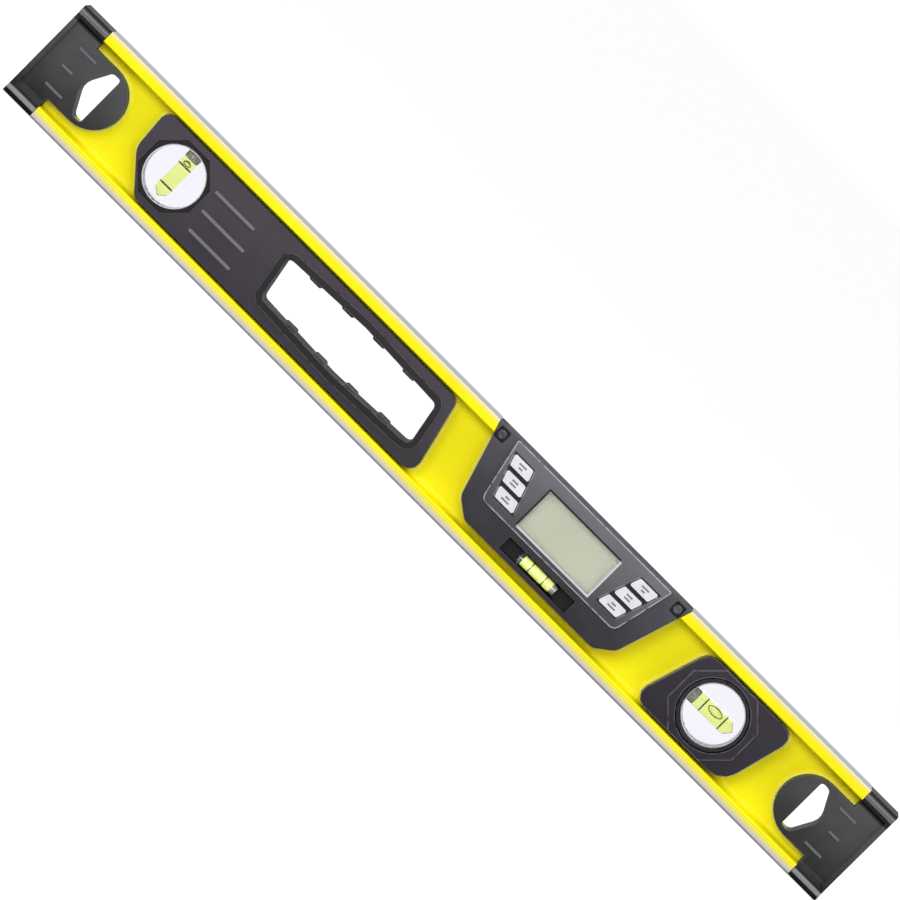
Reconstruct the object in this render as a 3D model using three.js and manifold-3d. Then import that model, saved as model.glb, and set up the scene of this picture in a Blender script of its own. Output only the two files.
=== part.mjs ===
// Digital I-beam spirit level, 24 inch, in millimetres with +Z up.
// X runs along the level, the display faces -Y, and the level stands on its bottom face at Z = 0.
import * as THREE from 'three';
import { mergeVertices } from 'three/addons/utils/BufferGeometryUtils.js';
import Module from 'manifold-3d';

const wasm = await Module();
wasm.setup();

// ---- Overall sizes
const LEVEL_LENGTH = 610;
const LEVEL_HEIGHT = 63.5;
const FLANGE_WIDTH = 27;
const CLEARANCE = 0.3; // between pieces that are fitted together
const SEAT_GAP = 0.1; // between faces that rest on each other
const SPLIT_GAP = 0.15; // from the middle plane to each half of a split insert

// ---- Frame profile
const FLANGE_EDGE = 7.2;
const FLANGE_ROOT = 8;
const FLANGE_NOSE_RADIUS = 0.8;
const WEB_THICKNESS = 3;
const WEB_FILLET = 2.6;
const WORKING_CHAMFER = 1.2;
const LIP_WIDTH = 1.1; // raised lip round each cut-out
const LIP_HEIGHT = 0.8;

// ---- End caps
const CAP_LENGTH = 20;
const CAP_PROUD = 0.8; // beyond the flange edges
const CAP_SET_BACK = 0.3; // behind the working faces
const CAP_RIDGE = 3.1; // from the cap's outer face to the ridge along its flange
const CAP_SHOULDER = 5.8;
const CAP_SHOULDER_WIDTH = 1;
const CAP_SHOULDER_DROP = 2.1; // behind the ridge
const CAP_FLANGE = 10;
const CAP_FACE_DEPTH = 5.2; // how far the face lies behind the cap's own flanges
const CAP_PLATE = 2.6;
const CAP_EDGE_CHAMFER = 1.4;
const TONGUE_RADIUS = 18.6;
const TONGUE_CENTRE = 36.2; // from the end of the level
const TONGUE_GROOVE = 3;
const HANG_HOLE_STRAIGHT = 41.4; // from the end of the level
const HANG_HOLE_SHOULDER = 35.5;
const HANG_HOLE_POINT = 27;
const HANG_HOLE_HALF = 15.8;
const CAP_RIB_ROWS = [[13, 13.5, 25.5], [0, 13.3, 20.4], [-13, 13.5, 25.5]]; // height, from, to
const CAP_RIB_WIDTH = 1.2;
const CAP_RIB_HEIGHT = 0.6;

// ---- Web inserts
const INSERT_GAP = 0.9; // from the flange root to the insert
const INSERT_RECESS = 2; // of the insert's face behind the flange edge
const WEB_OVERLAP = 4; // of the insert over the web
const INSERT_RIB_WIDTH = 1.7;
const INSERT_RIB_HEIGHT = 0.8;

// ---- Handle insert
const HANDLE_START = 70; // from the left end of the level
const HANDLE_LENGTH = 229;
const HANDLE_BOTTOM_START = 19.8; // the lower left corner, from the insert's left side
const HANDLE_RIGHT_LEAN = 11.2; // of the right side, over its height
const HANDLE_KNEE = 2; // the corner on the left side, from the insert's left side
const HANDLE_KNEE_DROP = 2.8; // of that corner below mid height
const WINDOW_START = 103.2; // from the insert's left side, at mid height
const WINDOW_LENGTH = 110.6;
const WINDOW_RIM = 7.6; // from the insert's edge to the hand hole at mid length
const WINDOW_BOW = 2.4;
const WINDOW_SLANT = 4.8;
const WINDOW_CORNER = 3;
const LINER_WALL = 2.7;
const LINER_LIP = 1.5;
const LINER_PROUD = 0.8;
const BUMP_COUNT = 4;
const BUMP_PITCH = 23.2;
const BUMP_WIDTH = 10.6;
const BUMP_HEIGHT = 1.2;
const BUMP_CREST = 0.7; // share of a bump's width that is at full height
const BUMP_FIRST_TOP = 19.5; // from the window's left side
const BUMP_FIRST_BOTTOM = 26.4;
const PLUMB_POSITION = 27.2; // from the insert's left side
const INSERT_RIB_ROWS = [[10.2, 48.5, 77.5], [-2.1, 50.4, 81.8], [-14.1, 52.5, 83.1]];
const CORE_POCKET = [49.5, 79.5]; // hollow between the halves, from the insert's left side
const CORE_POCKET_RIM = 2;
const HANDLE_SCREWS = [[9.1, 15.4], [85, 16], [85, -15.4]]; // from the left side and mid height

// ---- Round vial blocks
const VIAL_BLOCK_RADIUS = 17.3;
const VIAL_BLOCK_HALF = 9.6;
const VIAL_COLLAR_RADIUS = 18.8;
const VIAL_COLLAR_HALF = 1.2;
const VIAL_BORE_RADIUS = 4.6;
const VIAL_BORE_DEPTH = 11; // from the middle of the block to the tapered end
const VIAL_BORE_TAPER = 3.4;
const VIAL_GAP = 0.15;
const RING_SPACING = 7; // of each graduation ring from the middle
const RING_WIDTH = 0.5;
const RING_WALL = 0.45;
const PLUG_LENGTH = 4.6;
const BEZEL_FLAT = 19.3; // of the octagonal recess round the plumb vial
const BEZEL_DEPTH = 1.4;

// ---- Angle insert and its dial
const ANGLE_CENTRE = 107.9; // from the right end of the level
const ANGLE_START = 38.2; // from the insert's left side to the middle of the dial
const ANGLE_LENGTH = 78.2;
const ANGLE_LEFT_LEAN = 14; // of the left side, over its height
const ANGLE_RIGHT_LEAN = 11.6;
const DIAL_RADIUS = 20;
const DIAL_RECESS = 0.4; // of the dial's face behind the collar
const DIAL_FLANGE_RADIUS = 21.4;
const DIAL_FLANGE = 2;
const WASHER_THICKNESS = 1.4;
const COLLAR_FLAT = 23.9;
const COLLAR_HEIGHT = 1.2;
const DIAL_GRIP_COUNT = 16;
const DIAL_GRIP_RADIUS = 0.8;
const DIAL_GRIP_DEPTH = 1;
const ANGLE_SCREWS = [[-25.4, -16], [27.4, 15.6]];

// ---- Display module
const MODULE_CENTRE = 78.3;
const MODULE_TOP_HALF = 71.7;
const MODULE_KNEE_HALF = 58.4;
const MODULE_BOTTOM_HALF = 48;
const MODULE_KNEE = 19.6; // height of the knee above the base
const MODULE_BOTTOM = 11.7;
const MODULE_TOP_SET_BACK = 0.3;
const MODULE_RECESS = 1.1; // of the module's face behind the flange edge
const MODULE_WALL = 2;
const BAY_FLOOR = 25.2; // of the hollow for the electronics
const BAY_CEILING = 3; // below the top of the module
const BAY_SIDE = 8.6; // from the module's sloping sides to the hollow
const GASKET_INSET = 6.4;
const GASKET_TOP_INSET = 0.9;
const GASKET_WIDTH = 1.2;
const GASKET_DROP = 2.6; // below the floor of the hollow
const GASKET_HALF = 0.7;

// ---- Panel, display and keys
const PANEL_TOP_HALF = 57.6;
const PANEL_BOTTOM_HALF = 49.6;
const PANEL_BOTTOM = 26.4;
const PANEL_TOP_INSET = 0.4; // below the top of the module
const PANEL_THICKNESS = 1.2;
const DISPLAY_WIDTH = 52.2;
const DISPLAY_HEIGHT = 24.8;
const DISPLAY_CENTRE = 42.6;
const LENS_THICKNESS = 0.9;
const LCD_MARGIN = 3;
const LCD_THICKNESS = 2;
const KEY_COLUMN = 45.9; // of the top keys from the middle of the module
const KEY_TOP = 53.3;
const KEY_PITCH = 8.9;
const KEY_SLANT = 0.34; // sideways per millimetre down
const KEY_WIDTH = 13.4;
const KEY_HEIGHT = 6.5;
const KEY_CORNER = 0.9;
const KEY_PROUD = 0.6;
const KEY_TRAVEL = 0.5;
const KEY_FLANGE = 0.8;
const KEY_FLANGE_THICKNESS = 0.8;
const KEYPAD_BASE = 0.9;
const KEYPAD_MARGIN = 1; // inside the edge of the board
const DOME_INSET = 1.6; // of a dome from the outline of its key
const CORNER_NOTCH_FROM = 62.3; // from the middle of the module
const CORNER_NOTCH_TOP = 1.1; // below the top of the module
const CORNER_NOTCH_WIDTH = 7.05;
const CORNER_NOTCH_HEIGHT = 7.4;
const CORNER_NOTCH_DEPTH = 2.4;

// ---- Electronics
const BOARD_BOTTOM = 28;
const BOARD_MARGIN = 0.5; // inside the hollow of the housing
const BOARD_THICKNESS = 1.6;
const BOARD_FRONT = -6;
const BUZZER_RADIUS = 6;
const BUZZER_HEIGHT = 4;
const SENSOR_SIZE = [12, 10, 3.4];
const COMPONENT_REACH = 40; // of the buzzer and the sensor from the middle of the module
const BATTERY_RADIUS = 5.15;
const BATTERY_LENGTH = 43.6;
const BATTERY_NUB = 0.9;
const BATTERY_GAP = 1.6; // between the two cells
const BAY_WIDTH = 52;
const BAY_WALL = 1.4;
const BAY_WALL_FRONT = 0.5; // behind the middle plane
const BATTERY_NUB_RADIUS = 1.9;
const SPRING_TURNS = 2.5;
const SPRING_WIRE = 0.35; // radius
const SPRING_SMALL_RADIUS = 2;
const SPRING_LARGE_RADIUS = 3.4;
const DOOR_MARGIN = 2.2; // of the door over the battery opening
const DOOR_THICKNESS = 1.4;
const KNUCKLE_RADIUS = 1.1;
const PIN_RADIUS = 0.5;
const KNUCKLE_LENGTH = 8;
const KNUCKLE_CENTRE = 20;
const LUG_OUTER = 27.6;
const THUMB_HALF = 7; // half width of the recess that opens the door
const THUMB_FROM = 4.5; // below the top of the door
const THUMB_TO = 1.5;
const THUMB_DEPTH = 0.6;

// ---- Centre vial
const CENTRE_VIAL_LENGTH = 26.6;
const CENTRE_VIAL_RADIUS = 4;
const CENTRE_VIAL_BORE = 3;
const CENTRE_VIAL_HEIGHT = 18.6;
const CENTRE_SLOT_LENGTH = 49;
const CENTRE_VIAL_END = 2; // thickness of the tube's closed end
const CENTRE_PLUG = 2.9;
const CENTRE_RING = 5;

// ---- Screws
const SCREW_HEAD_RADIUS = 2.5;
const SCREW_HEAD_HEIGHT = 1.8;
const SCREW_SHANK_RADIUS = 1.2;
const SCREW_LENGTH = 15;
const SCREW_SOCKET_RADIUS = 1;
const MODULE_REAR_SCREWS = [-44.3, 44.3];
const MODULE_REAR_SCREW_HEIGHT = 17.6;

// ---- Derived places
const LEFT_END = -LEVEL_LENGTH / 2;
const RIGHT_END = LEVEL_LENGTH / 2;
const MIDDLE = LEVEL_HEIGHT / 2;
const HALF_FLANGE = FLANGE_WIDTH / 2;
const HALF_WEB = WEB_THICKNESS / 2;
const INSERT_FACE = HALF_FLANGE - INSERT_RECESS;
const INSERT_BOTTOM = FLANGE_ROOT + INSERT_GAP;
const INSERT_TOP = LEVEL_HEIGHT - INSERT_BOTTOM;
const HANDLE_X = LEFT_END + HANDLE_START;
const PLUMB_X = HANDLE_X + PLUMB_POSITION;
const ANGLE_X = RIGHT_END - ANGLE_CENTRE;
const ANGLE_LEFT = ANGLE_X - ANGLE_START;
const MODULE_FACE = HALF_FLANGE - MODULE_RECESS;
const MODULE_TOP = LEVEL_HEIGHT - MODULE_TOP_SET_BACK;
const CORE_INSET = WEB_OVERLAP + CLEARANCE;
const FAR = 60; // longer than any piece is deep

// ---- Geometry helpers

// Points of a closed outline from corners [x, z, radius], each radius drawn as an arc.
function roundedPoints(corners, steps = 3) {
  const points = [];
  corners.forEach(([x, z, radius = 0], i) => {
    const here = new THREE.Vector2(x, z);
    if (radius < 0.05) {
      points.push(here);
      return;
    }
    const previous = corners.at(i - 1);
    const next = corners[(i + 1) % corners.length];
    const back = new THREE.Vector2(previous[0], previous[1]).sub(here).normalize();
    const ahead = new THREE.Vector2(next[0], next[1]).sub(here).normalize();
    const half = Math.acos(THREE.MathUtils.clamp(back.dot(ahead), -1, 1)) / 2;
    const centre = back.clone().add(ahead).setLength(radius / Math.sin(half)).add(here);
    const reach = radius / Math.tan(half);
    const from = back.multiplyScalar(reach).add(here).sub(centre);
    const to = ahead.multiplyScalar(reach).add(here).sub(centre);
    const turn = Math.atan2(from.cross(to), from.dot(to));
    for (let k = 0; k <= steps; k += 1) {
      const spoke = from.clone().rotateAround(new THREE.Vector2(), (turn * k) / steps);
      points.push(spoke.add(centre));
    }
  });
  return points;
}

// The same corners moved outwards by a distance (inwards when negative), with the radii following.
function offsetCorners(corners, distance) {
  const count = corners.length;
  let area = 0;
  corners.forEach(([x, z], i) => {
    const [nextX, nextZ] = corners[(i + 1) % count];
    area += x * nextZ - nextX * z;
  });
  const outward = Math.sign(area);
  const edges = corners.map(([x, z], i) => {
    const [nextX, nextZ] = corners[(i + 1) % count];
    const length = Math.hypot(nextX - x, nextZ - z);
    const normal = [(outward * (nextZ - z)) / length, (-outward * (nextX - x)) / length];
    return { normal, reach: normal[0] * x + normal[1] * z + distance };
  });
  return corners.map(([, , radius = 0], i) => {
    const a = edges.at(i - 1);
    const b = edges[i];
    const cross = a.normal[0] * b.normal[1] - a.normal[1] * b.normal[0];
    const x = (a.reach * b.normal[1] - b.reach * a.normal[1]) / cross;
    const z = (a.normal[0] * b.reach - b.normal[0] * a.reach) / cross;
    const convex = cross * outward > 0 ? 1 : -1;
    return [x, z, radius > 0 ? Math.max(radius + convex * distance, 0.3) : 0];
  });
}

// A plate with the given outline in X and Z, between two values of Y.
function plate(corners, y0, y1, steps = 3) {
  const depth = Math.abs(y1 - y0);
  const shape = new THREE.Shape(roundedPoints(corners, steps));
  const geometry = new THREE.ExtrudeGeometry(shape, { depth, bevelEnabled: false, steps: 1 });
  geometry.rotateX(Math.PI / 2);
  geometry.translate(0, Math.max(y0, y1), 0);
  return solid(geometry);
}

function rectangle(x0, z0, x1, z1, radius = 0) {
  return [[x0, z0, radius], [x1, z0, radius], [x1, z1, radius], [x0, z1, radius]];
}

function box(x0, x1, y0, y1, z0, z1) {
  const geometry = new THREE.BoxGeometry(x1 - x0, Math.abs(y1 - y0), z1 - z0);
  geometry.translate((x0 + x1) / 2, (y0 + y1) / 2, (z0 + z1) / 2);
  return solid(geometry);
}

// A round disc or rod whose axis runs along Y.
function disc(radius, y0, y1, x = 0, z = 0, sides = 32) {
  const geometry = new THREE.CylinderGeometry(radius, radius, Math.abs(y1 - y0), sides);
  geometry.rotateY(Math.PI / sides);
  geometry.translate(x, (y0 + y1) / 2, z);
  return solid(geometry);
}

// A turned piece on the X or Z axis, from [radius, position] pairs that start and end on the axis.
function turned(profile, axis, sides = 16) {
  const points = profile.map(([radius, position]) => new THREE.Vector2(radius, position));
  const geometry = new THREE.LatheGeometry(points, sides);
  if (axis === 'x') geometry.rotateZ(-Math.PI / 2);
  if (axis === 'z') geometry.rotateX(Math.PI / 2);
  return solid(geometry);
}

function rod(radius, from, to, axis, sides = 16) {
  return turned([[0, from], [radius, from], [radius, to], [0, to]], axis, sides);
}

function octagon(flat, x, z) {
  const radius = flat / Math.cos(Math.PI / 8);
  return Array.from({ length: 8 }, (_, i) => {
    const angle = ((i + 0.5) * Math.PI) / 4;
    return [x + radius * Math.cos(angle), z + radius * Math.sin(angle)];
  });
}

function solid(geometry) {
  geometry.deleteAttribute('normal');
  geometry.deleteAttribute('uv');
  const merged = mergeVertices(geometry, 1e-5);
  const vertProperties = new Float32Array(merged.attributes.position.array);
  const triVerts = new Uint32Array(merged.index.array);
  const mesh = new wasm.Mesh({ numProp: 3, vertProperties, triVerts });
  const made = new wasm.Manifold(mesh);
  if (made.volume() > 0) return made;
  for (let i = 0; i < triVerts.length; i += 3) {
    [triVerts[i], triVerts[i + 1]] = [triVerts[i + 1], triVerts[i]];
  }
  return new wasm.Manifold(new wasm.Mesh({ numProp: 3, vertProperties, triVerts }));
}

function join(...pieces) {
  return pieces.reduce((a, b) => a.add(b));
}

function cut(base, ...tools) {
  return tools.reduce((a, b) => a.subtract(b), base);
}

const level = new THREE.Group();

function addPart(name, piece, finish, parent = level) {
  const { numProp, vertProperties, triVerts } = piece.getMesh();
  const geometry = new THREE.BufferGeometry();
  const positions = new Float32Array((vertProperties.length / numProp) * 3);
  for (let i = 0; i < positions.length / 3; i += 1) {
    for (let k = 0; k < 3; k += 1) positions[i * 3 + k] = vertProperties[i * numProp + k];
  }
  geometry.setAttribute('position', new THREE.BufferAttribute(positions, 3));
  geometry.setIndex(new THREE.BufferAttribute(new Uint32Array(triVerts), 1));
  geometry.computeVertexNormals();
  const mesh = new THREE.Mesh(geometry, finish);
  mesh.name = name;
  parent.add(mesh);
  return mesh;
}

function finish(color, roughness, metalness = 0, opacity = 1) {
  return new THREE.MeshStandardMaterial({
    color, roughness, metalness, opacity, transparent: opacity < 1,
  });
}

// ---- Finishes
const YELLOW_COAT = finish(0xeedc14, 0.4, 0.1);
const CAP_PLASTIC = finish(0x3c3c3e, 0.6);
const INSERT_PLASTIC = finish(0x48444b, 0.55);
const MODULE_PLASTIC = finish(0x3c3c41, 0.5);
const PANEL_PAINT = finish(0x736e7a, 0.4, 0.2);
const GRIP_RUBBER = finish(0x232326, 0.8);
const CLEAR_ACRYLIC = finish(0xf2f2f8, 0.05, 0, 0.35);
const VIAL_LIQUID = finish(0xe1f56e, 0.1, 0, 0.7);
const VIAL_PLUG = finish(0xb9bcae, 0.5);
const BLACK_INK = finish(0x101010, 0.5);
const DISPLAY_GLASS = finish(0xbec0a5, 0.15);
const KEY_WHITE = finish(0xf2f2f2, 0.4);
const SILICONE = finish(0xd8d8d2, 0.7);
const BOARD_GREEN = finish(0x1f5a34, 0.5);
const STEEL = finish(0xb4b6ba, 0.3, 1);
const CELL_SLEEVE = finish(0x2a4c8a, 0.4, 0.3);

// ---- Web inserts: two plastic halves clamp the edge of a cut-out in the web

function clampHalf(corners, side, face) {
  const stepBack = HALF_WEB + CLEARANCE;
  const slabBack = HALF_WEB + WEB_FILLET + CLEARANCE;
  const stepInset = WEB_FILLET - INSERT_GAP + CLEARANCE;
  const inside = (slabBack + face) / 2;
  return join(
    plate(corners, side * slabBack, side * face),
    plate(offsetCorners(corners, -stepInset), side * stepBack, side * inside),
    plate(offsetCorners(corners, -CORE_INSET), side * SPLIT_GAP, side * inside),
  );
}

function webOpening(corners) {
  return plate(offsetCorners(corners, -WEB_OVERLAP), -WEB_THICKNESS, WEB_THICKNESS);
}

function webLip(corners) {
  const reach = HALF_WEB + LIP_HEIGHT;
  const inner = offsetCorners(corners, CLEARANCE);
  const outer = offsetCorners(corners, CLEARANCE + LIP_WIDTH);
  return cut(plate(outer, -reach, reach), plate(inner, -FAR, FAR));
}

// Corners of each insert: distance along X from its left end, height, radius.
const handleOutline = [
  [HANDLE_BOTTOM_START, INSERT_BOTTOM, 4],
  [HANDLE_LENGTH, INSERT_BOTTOM, 6],
  [HANDLE_LENGTH - HANDLE_RIGHT_LEAN, INSERT_TOP, 5.5],
  [0, INSERT_TOP, 5],
  [HANDLE_KNEE, MIDDLE - HANDLE_KNEE_DROP, 10],
].map(([x, z, radius]) => [HANDLE_X + x, z, radius]);

const angleOutline = [
  [0, INSERT_BOTTOM, 6.5],
  [ANGLE_LENGTH - ANGLE_RIGHT_LEAN, INSERT_BOTTOM, 13],
  [ANGLE_LENGTH, INSERT_TOP, 6.5],
  [ANGLE_LEFT_LEAN, INSERT_TOP, 9],
].map(([x, z, radius]) => [ANGLE_LEFT + x, z, radius]);

// ---- Display module outline, narrowing downwards to a chamfered base
function moduleOutline(top) {
  const slope = (MODULE_TOP_HALF - MODULE_KNEE_HALF) / (MODULE_TOP - MODULE_KNEE);
  const topHalf = MODULE_TOP_HALF + (top - MODULE_TOP) * slope;
  return [
    [MODULE_CENTRE - MODULE_BOTTOM_HALF, MODULE_BOTTOM, 6],
    [MODULE_CENTRE + MODULE_BOTTOM_HALF, MODULE_BOTTOM, 6],
    [MODULE_CENTRE + MODULE_KNEE_HALF, MODULE_KNEE, 8],
    [MODULE_CENTRE + topHalf, top],
    [MODULE_CENTRE - topHalf, top],
    [MODULE_CENTRE - MODULE_KNEE_HALF, MODULE_KNEE, 8],
  ];
}

// The module outline moved inwards on all sides but its top.
function moduleInset(distance, top = MODULE_TOP) {
  return offsetCorners(moduleOutline(top + distance), -distance);
}

// ---- End caps

function fromEnd(side, distance) {
  return side * (RIGHT_END - distance);
}

function tonguePoints(side, radius, from) {
  const steps = 16;
  const centre = fromEnd(side, TONGUE_CENTRE);
  const points = [[fromEnd(side, from), MIDDLE - radius]];
  for (let k = 0; k <= steps; k += 1) {
    const angle = -Math.PI / 2 + (Math.PI * k) / steps;
    points.push([centre - side * radius * Math.cos(angle), MIDDLE + radius * Math.sin(angle)]);
  }
  points.push([fromEnd(side, from), MIDDLE + radius]);
  return points;
}

function hangHole(side) {
  return plate([
    [fromEnd(side, HANG_HOLE_STRAIGHT), MIDDLE - HANG_HOLE_HALF, 1.6],
    [fromEnd(side, HANG_HOLE_STRAIGHT), MIDDLE + HANG_HOLE_HALF, 1.6],
    [fromEnd(side, HANG_HOLE_SHOULDER), MIDDLE + HANG_HOLE_HALF, 4],
    [fromEnd(side, HANG_HOLE_POINT), MIDDLE, 8],
    [fromEnd(side, HANG_HOLE_SHOULDER), MIDDLE - HANG_HOLE_HALF, 4],
  ], -FAR, FAR);
}

function endCap(side) {
  const bottom = CAP_SET_BACK;
  const top = LEVEL_HEIGHT - CAP_SET_BACK;
  const reach = HALF_FLANGE + CAP_PROUD;
  const face = reach - CAP_FACE_DEPTH;
  const [outer, inner] = [fromEnd(side, 0), fromEnd(side, CAP_LENGTH)];
  const [x0, x1] = [Math.min(outer, inner), Math.max(outer, inner)];
  const block = box(x0, x1, -face, face, bottom, top);
  const flanges = [[bottom, 1], [top, -1]].map(([edge, inward]) => (
    capFlange(x0, x1, reach, edge, inward)
  ));
  const plateEnds = [outer, fromEnd(side, CAP_PLATE)].sort((a, b) => a - b);
  const endPlate = box(plateEnds[0], plateEnds[1], -reach + CAP_EDGE_CHAMFER,
    reach - CAP_EDGE_CHAMFER, bottom, top);
  const tongue = plate(tonguePoints(side, TONGUE_RADIUS, CAP_LENGTH / 2), -face, face);
  const groove = HALF_WEB + CLEARANCE;
  const grooves = cut(
    plate(tonguePoints(side, TONGUE_RADIUS + 1, CAP_LENGTH), -groove, groove),
    plate(tonguePoints(side, TONGUE_RADIUS - TONGUE_GROOVE - CLEARANCE, CAP_LENGTH - 1), -FAR, FAR),
  );
  const ribs = CAP_RIB_ROWS.flatMap(([height, from, to]) => [-1, 1].map((faceSide) => {
    const ends = [fromEnd(side, from), fromEnd(side, to)].sort((a, b) => a - b);
    const z = MIDDLE + height;
    return plate(
      rectangle(ends[0], z - CAP_RIB_WIDTH / 2, ends[1], z + CAP_RIB_WIDTH / 2),
      faceSide * (face - 1), faceSide * (face + CAP_RIB_HEIGHT),
    );
  }));
  return cut(join(block, ...flanges, endPlate, tongue, ...ribs), grooves, hangHole(side));
}

// One flange of an end cap: a ridge bevelled both ways, a shoulder, and a slope to the face.
function capFlange(x0, x1, reach, edge, inward) {
  const shoulder = reach - CAP_SHOULDER_DROP;
  const right = [
    [reach - CAP_EDGE_CHAMFER, 0], [reach, CAP_RIDGE], [shoulder, CAP_SHOULDER],
    [shoulder, CAP_SHOULDER + CAP_SHOULDER_WIDTH], [reach - CAP_FACE_DEPTH, CAP_FLANGE],
  ];
  const left = right.map(([y, rise]) => [-y, rise]).reverse();
  const points = [...right, ...left].map(([y, rise]) => new THREE.Vector2(y, edge + inward * rise));
  return alongX(new THREE.Shape(points), x0, x1);
}

// Extrudes a section drawn in Y and Z along X.
function alongX(shape, x0, x1) {
  const geometry = new THREE.ExtrudeGeometry(shape, { depth: x1 - x0, bevelEnabled: false });
  geometry.applyMatrix4(new THREE.Matrix4().makeBasis(
    new THREE.Vector3(0, 1, 0), new THREE.Vector3(0, 0, 1), new THREE.Vector3(1, 0, 0),
  ));
  geometry.translate(x0, 0, 0);
  return solid(geometry);
}

// ---- Frame
function frameProfile() {
  const h = HALF_FLANGE;
  const c = WORKING_CHAMFER;
  const quarter = [[h - c, 0], [h, c], [h, FLANGE_EDGE, FLANGE_NOSE_RADIUS],
    [HALF_WEB, FLANGE_ROOT, WEB_FILLET]];
  const upper = quarter.map(([y, z, r]) => [y, LEVEL_HEIGHT - z, r]).reverse();
  const right = [...quarter, ...upper];
  const left = right.map(([y, z, r]) => [-y, z, r]).reverse();
  return new THREE.Shape(roundedPoints([...right, ...left]));
}

function frame() {
  const half = RIGHT_END - CAP_LENGTH - CLEARANCE;
  const beam = alongX(frameProfile(), -half, half);
  const tongueSlots = [-1, 1].map((side) => (
    plate(tonguePoints(side, TONGUE_RADIUS - TONGUE_GROOVE, 0), -FAR, FAR)
  ));
  const tongueLips = [-1, 1].map((side) => {
    const reach = HALF_WEB + LIP_HEIGHT;
    const start = CAP_LENGTH + CLEARANCE;
    const inner = TONGUE_RADIUS + CLEARANCE;
    return cut(
      plate(tonguePoints(side, inner + LIP_WIDTH, start), -reach, reach),
      plate(tonguePoints(side, inner, 0), -FAR, FAR),
    );
  });
  const flangeLine = FLANGE_ROOT + WEB_FILLET + CLEARANCE;
  const topGap = plate(
    offsetCorners(moduleOutline(LEVEL_HEIGHT + 1), CLEARANCE), -FAR, FAR,
  ).intersect(box(LEFT_END, RIGHT_END, -FAR, FAR, LEVEL_HEIGHT - flangeLine, LEVEL_HEIGHT + 2));
  const moduleLip = webLip(moduleOutline(LEVEL_HEIGHT - FLANGE_ROOT));
  return cut(
    join(beam, ...tongueLips, webLip(handleOutline), webLip(angleOutline), moduleLip),
    webOpening(handleOutline), webOpening(angleOutline), ...tongueSlots,
    plate(moduleInset(WEB_OVERLAP), -FAR, FAR), topGap,
    disc(VIAL_COLLAR_RADIUS + 2 * CLEARANCE, -FAR, FAR, PLUMB_X, MIDDLE),
    disc(DIAL_FLANGE_RADIUS + 2 * CLEARANCE, -FAR, FAR, ANGLE_X, MIDDLE),
  );
}

// ---- Screws, driven in from the face on the given side
function screwAt(name, x, z, side, face, sink) {
  const head = face - sink;
  const neck = head - SCREW_HEAD_HEIGHT;
  const screw = cut(
    join(
      disc(SCREW_HEAD_RADIUS, side * neck, side * head, x, z, 12),
      disc(SCREW_SHANK_RADIUS, side * (neck - SCREW_LENGTH), side * (neck + 1), x, z, 8),
    ),
    disc(SCREW_SOCKET_RADIUS, side * (head - 1), side * (head + 1), x, z, 6),
  );
  addPart(name, screw, STEEL);
}

function screwHole(x, z, side, face, sink) {
  const head = face - sink;
  const neck = head - SCREW_HEAD_HEIGHT;
  const tip = neck - SCREW_LENGTH - CLEARANCE;
  return join(
    disc(SCREW_HEAD_RADIUS + CLEARANCE, side * (neck - SEAT_GAP), side * (face + 1), x, z, 12),
    disc(SCREW_SHANK_RADIUS + CLEARANCE, side * tip, side * face, x, z, 8),
  );
}

const REAR_SINK = 0.5;
const NOTCH_SINK = CORNER_NOTCH_DEPTH + 0.1;

// ---- Handle insert

function windowOutline() {
  const x0 = HANDLE_X + WINDOW_START;
  const x1 = x0 + WINDOW_LENGTH;
  const middle = (x0 + x1) / 2;
  const top = INSERT_TOP - WINDOW_RIM;
  const bottom = INSERT_BOTTOM + WINDOW_RIM;
  const half = WINDOW_SLANT / 2;
  return [
    [x0 + half, bottom + WINDOW_BOW, WINDOW_CORNER],
    [middle + half, bottom],
    [x1 + half, bottom + WINDOW_BOW, WINDOW_CORNER],
    [x1 - half, top - WINDOW_BOW, WINDOW_CORNER],
    [middle - half, top],
    [x0 - half, top - WINDOW_BOW, WINDOW_CORNER],
  ];
}

function handleHalf(side) {
  const opening = offsetCorners(windowOutline(), LINER_WALL + CLEARANCE);
  const collarRoom = VIAL_COLLAR_HALF + CLEARANCE;
  const rim = CORE_INSET + CORE_POCKET_RIM;
  const [pocketFrom, pocketTo] = CORE_POCKET.map((x) => HANDLE_X + x);
  const pocket = rectangle(
    pocketFrom, INSERT_BOTTOM + rim, pocketTo, INSERT_TOP - rim, CORE_POCKET_RIM,
  );
  const ribs = INSERT_RIB_ROWS.map(([height, from, to]) => {
    const z = MIDDLE + height;
    const half = INSERT_RIB_WIDTH / 2;
    return plate(
      rectangle(HANDLE_X + from, z - half, HANDLE_X + to, z + half, half * 0.98),
      side * (INSERT_FACE - 1), side * (INSERT_FACE + INSERT_RIB_HEIGHT),
    );
  });
  return cut(
    join(clampHalf(handleOutline, side, INSERT_FACE), ...ribs),
    plate(opening, -FAR, FAR),
    disc(VIAL_BLOCK_RADIUS + CLEARANCE, 0, side * FAR, PLUMB_X, MIDDLE),
    disc(VIAL_COLLAR_RADIUS + CLEARANCE, -side, side * collarRoom, PLUMB_X, MIDDLE),
    plate(octagon(BEZEL_FLAT, PLUMB_X, MIDDLE), side * (INSERT_FACE - BEZEL_DEPTH), side * FAR),
    plate(pocket, 0, side * (INSERT_FACE - CORE_POCKET_RIM)),
    ...HANDLE_SCREWS.map(([x, z]) => (
      screwHole(HANDLE_X + x, MIDDLE + z, 1, INSERT_FACE, REAR_SINK)
    )),
  );
}

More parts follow.
